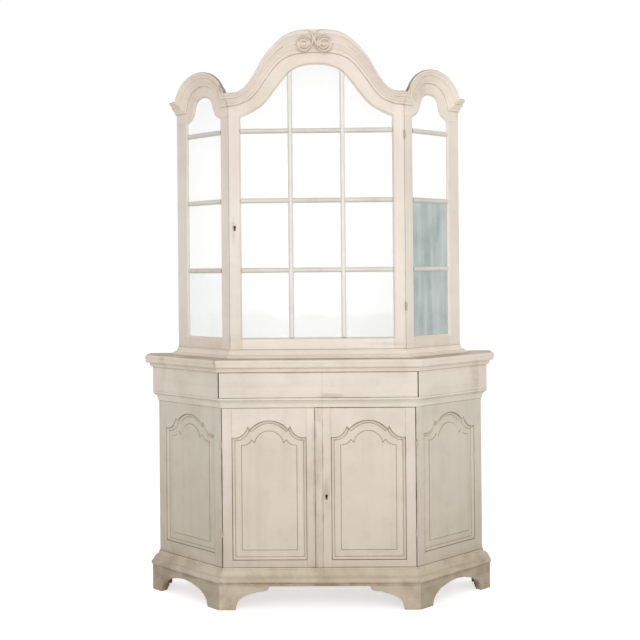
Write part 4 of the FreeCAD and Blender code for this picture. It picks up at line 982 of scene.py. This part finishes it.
def tailMesh(side, middle, crown):  # the cornice's nose, which curls down into a scroll
    bm = bmesh.new()
    run = smoothRun([(side * across, 0.0, level) for across, level in tail["line"]], tail["steps"])
    widths = smoothRun([(width, 0.0, 0.0) for width in tail["widths"]], tail["steps"])
    turns = [2.0 * math.pi * face / tail["faces"] for face in range(tail["faces"])]
    forward = Vector((0.0, -1.0, 0.0))
    rings = []
    for index, (spot, width) in enumerate(zip(run, widths)):
        ahead = run[min(index + 1, len(run) - 1)] - run[max(index - 1, 0)]
        aside = Vector((ahead.z, 0.0, -ahead.x)).normalized()
        centre = Vector((middle + spot.x, plan["glazedFace"] - volute["base"], crown + spot.z))
        rings.append([centre + width.x * (math.cos(turn) * aside + tail["proud"] * math.sin(turn) * forward)
                      for turn in turns])
    ringSurface(bm, rings)
    return bm


low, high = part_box("crown_carving")
middle = (low.x + high.x) / 2.0
boards = []
for side, radius, lean in zip((-1.0, 1.0), volute["radii"], volute["lean"]):
    centre = Vector((middle + side * volute["apart"], plan["glazedFace"], low.z + volute["level"]))
    boards.append(voluteMesh(centre, radius, -side, lean))
    boards.append(tailMesh(side, middle, high.z))
infill = min(boardsOf("crown_carving"), key=lambda board: board.calc_volume())
boards.append(easedBoard(infill, volute["infillEdge"]))
finishPiece("crownCarving", joinBoards(boards), "paintCrown", "case",
            ["crown_carving"], smoothAngle=50.0)
print("crown carved")


# Panes. Those of the right cant are hazy up to one height, those of the left one faintly up to another

hazyUpTo = {"right": 1.69, "left": 1.4}


def paneSet(node, chooseMaterial):
    boards = boardsOf(node)
    names = []
    for board in boards:
        middle = sum((vert.co for vert in board.verts), Vector()) / len(board.verts)
        name = chooseMaterial(middle)
        if name not in names:
            names.append(name)
        for face in board.faces:
            face.material_index = names.index(name)
    finishPiece(camelName(node), joinBoards(boards), names, nodeBodies[node], [node],
                smoothAngle=20.0)


def cantGlass(middle):
    if middle.x > 0.0:
        return "hazyGlass" if middle.z < hazyUpTo["right"] else "sideGlass"
    return "faintGlass" if middle.z < hazyUpTo["left"] else "sideGlass"


paneSet("cant_panes", cantGlass)
paneSet("upper_door_panes", lambda middle: "windowGlass")
print("panes set")


# Floor, backdrop, light and camera

studio = {
    "floorSize": 40.0, "floorColor": (0.86, 0.86, 0.86, 1.0), "floorRoughness": 0.9, "floorLift": 0.6,
    "keyPlace": (0.1, -5.6, 3.3), "keySize": 5.0, "keyPower": 121.0,
    "fillPlace": (3.0, -3.6, 2.4), "fillSize": 2.6, "fillPower": 20.0,
    "skyStrength": 0.54, "aim": (0.0, 0.0, 1.25),
}
white = (1.0, 1.0, 1.0, 1.0)


def seenDirectly(tree):  # 1 where the camera sees it, also by way of metal and glass
    path = tree.nodes.new("ShaderNodeLightPath")
    seen = mathNode(tree, "MAXIMUM", path.outputs["Is Camera Ray"], path.outputs["Is Glossy Ray"])
    return mathNode(tree, "MAXIMUM", seen, path.outputs["Is Transmission Ray"])


def paleGround(name):  # near white to the camera, and it keeps the shadow
    material, tree, shader = newMaterial(name)
    shader.inputs["Base Color"].default_value = studio["floorColor"]
    shader.inputs["Roughness"].default_value = studio["floorRoughness"]
    shader.inputs["Emission Color"].default_value = white
    lift = mathNode(tree, "MULTIPLY", seenDirectly(tree), studio["floorLift"])
    tree.links.new(lift, shader.inputs["Emission Strength"])
    return material


bm = bmesh.new()
bmesh.ops.create_grid(bm, x_segments=1, y_segments=1, size=studio["floorSize"] / 2.0)
floorMesh = bpy.data.meshes.new("studioFloor")
bm.to_mesh(floorMesh)
bm.free()
floor = bpy.data.objects.new("studioFloor", floorMesh)
scene.collection.objects.link(floor)
floorMesh.materials.append(paleGround("paleFloor"))

world = bpy.data.worlds.new("softSky")
scene.world = world
world.use_nodes = True
sky = world.node_tree
background = sky.nodes["Background"]
background.inputs["Color"].default_value = white
skyLift = mathNode(sky, "MULTIPLY", seenDirectly(sky), 1.0 - studio["skyStrength"])
sky.links.new(mathNode(sky, "ADD", skyLift, studio["skyStrength"]), background.inputs["Strength"])


def softLamp(name, place, size, power):
    data = bpy.data.lights.new(name, "AREA")
    data.size = size
    data.energy = power
    lamp = bpy.data.objects.new(name, data)
    scene.collection.objects.link(lamp)
    lamp.location = place
    lamp.rotation_euler = (Vector(studio["aim"]) - Vector(place)).to_track_quat("-Z", "Y").to_euler()


softLamp("keyLamp", studio["keyPlace"], studio["keySize"], studio["keyPower"])
softLamp("fillLamp", studio["fillPlace"], studio["fillSize"], studio["fillPower"])

view = {"place": (0.0895, -4.8935, 1.4143), "turn": 0.017, "tilt": 0.009, "lens": 63.92, "sensor": 36.0,
        "shift": (0.0011, -0.0822), "farthest": 100.0}
cameraData = bpy.data.cameras.new("photoCamera")
cameraData.lens = view["lens"]
cameraData.sensor_width = view["sensor"]
cameraData.shift_x, cameraData.shift_y = view["shift"]
cameraData.clip_end = view["farthest"]
camera = bpy.data.objects.new("photoCamera", cameraData)
scene.collection.objects.link(camera)
ahead = Vector((-math.sin(view["turn"]), math.cos(view["turn"]), 0.0))
aside = Vector((math.cos(view["turn"]), math.sin(view["turn"]), 0.0))
up = Vector((0.0, 0.0, 1.0))
imageRight = aside * math.cos(view["tilt"]) - up * math.sin(view["tilt"])
imageUp = aside * math.sin(view["tilt"]) + up * math.cos(view["tilt"])
turned = Matrix((imageRight, imageUp, -ahead)).transposed().to_4x4()
camera.matrix_world = Matrix.Translation(view["place"]) @ turned
scene.camera = camera
scene.view_settings.view_transform = "Standard"
print("studio set")
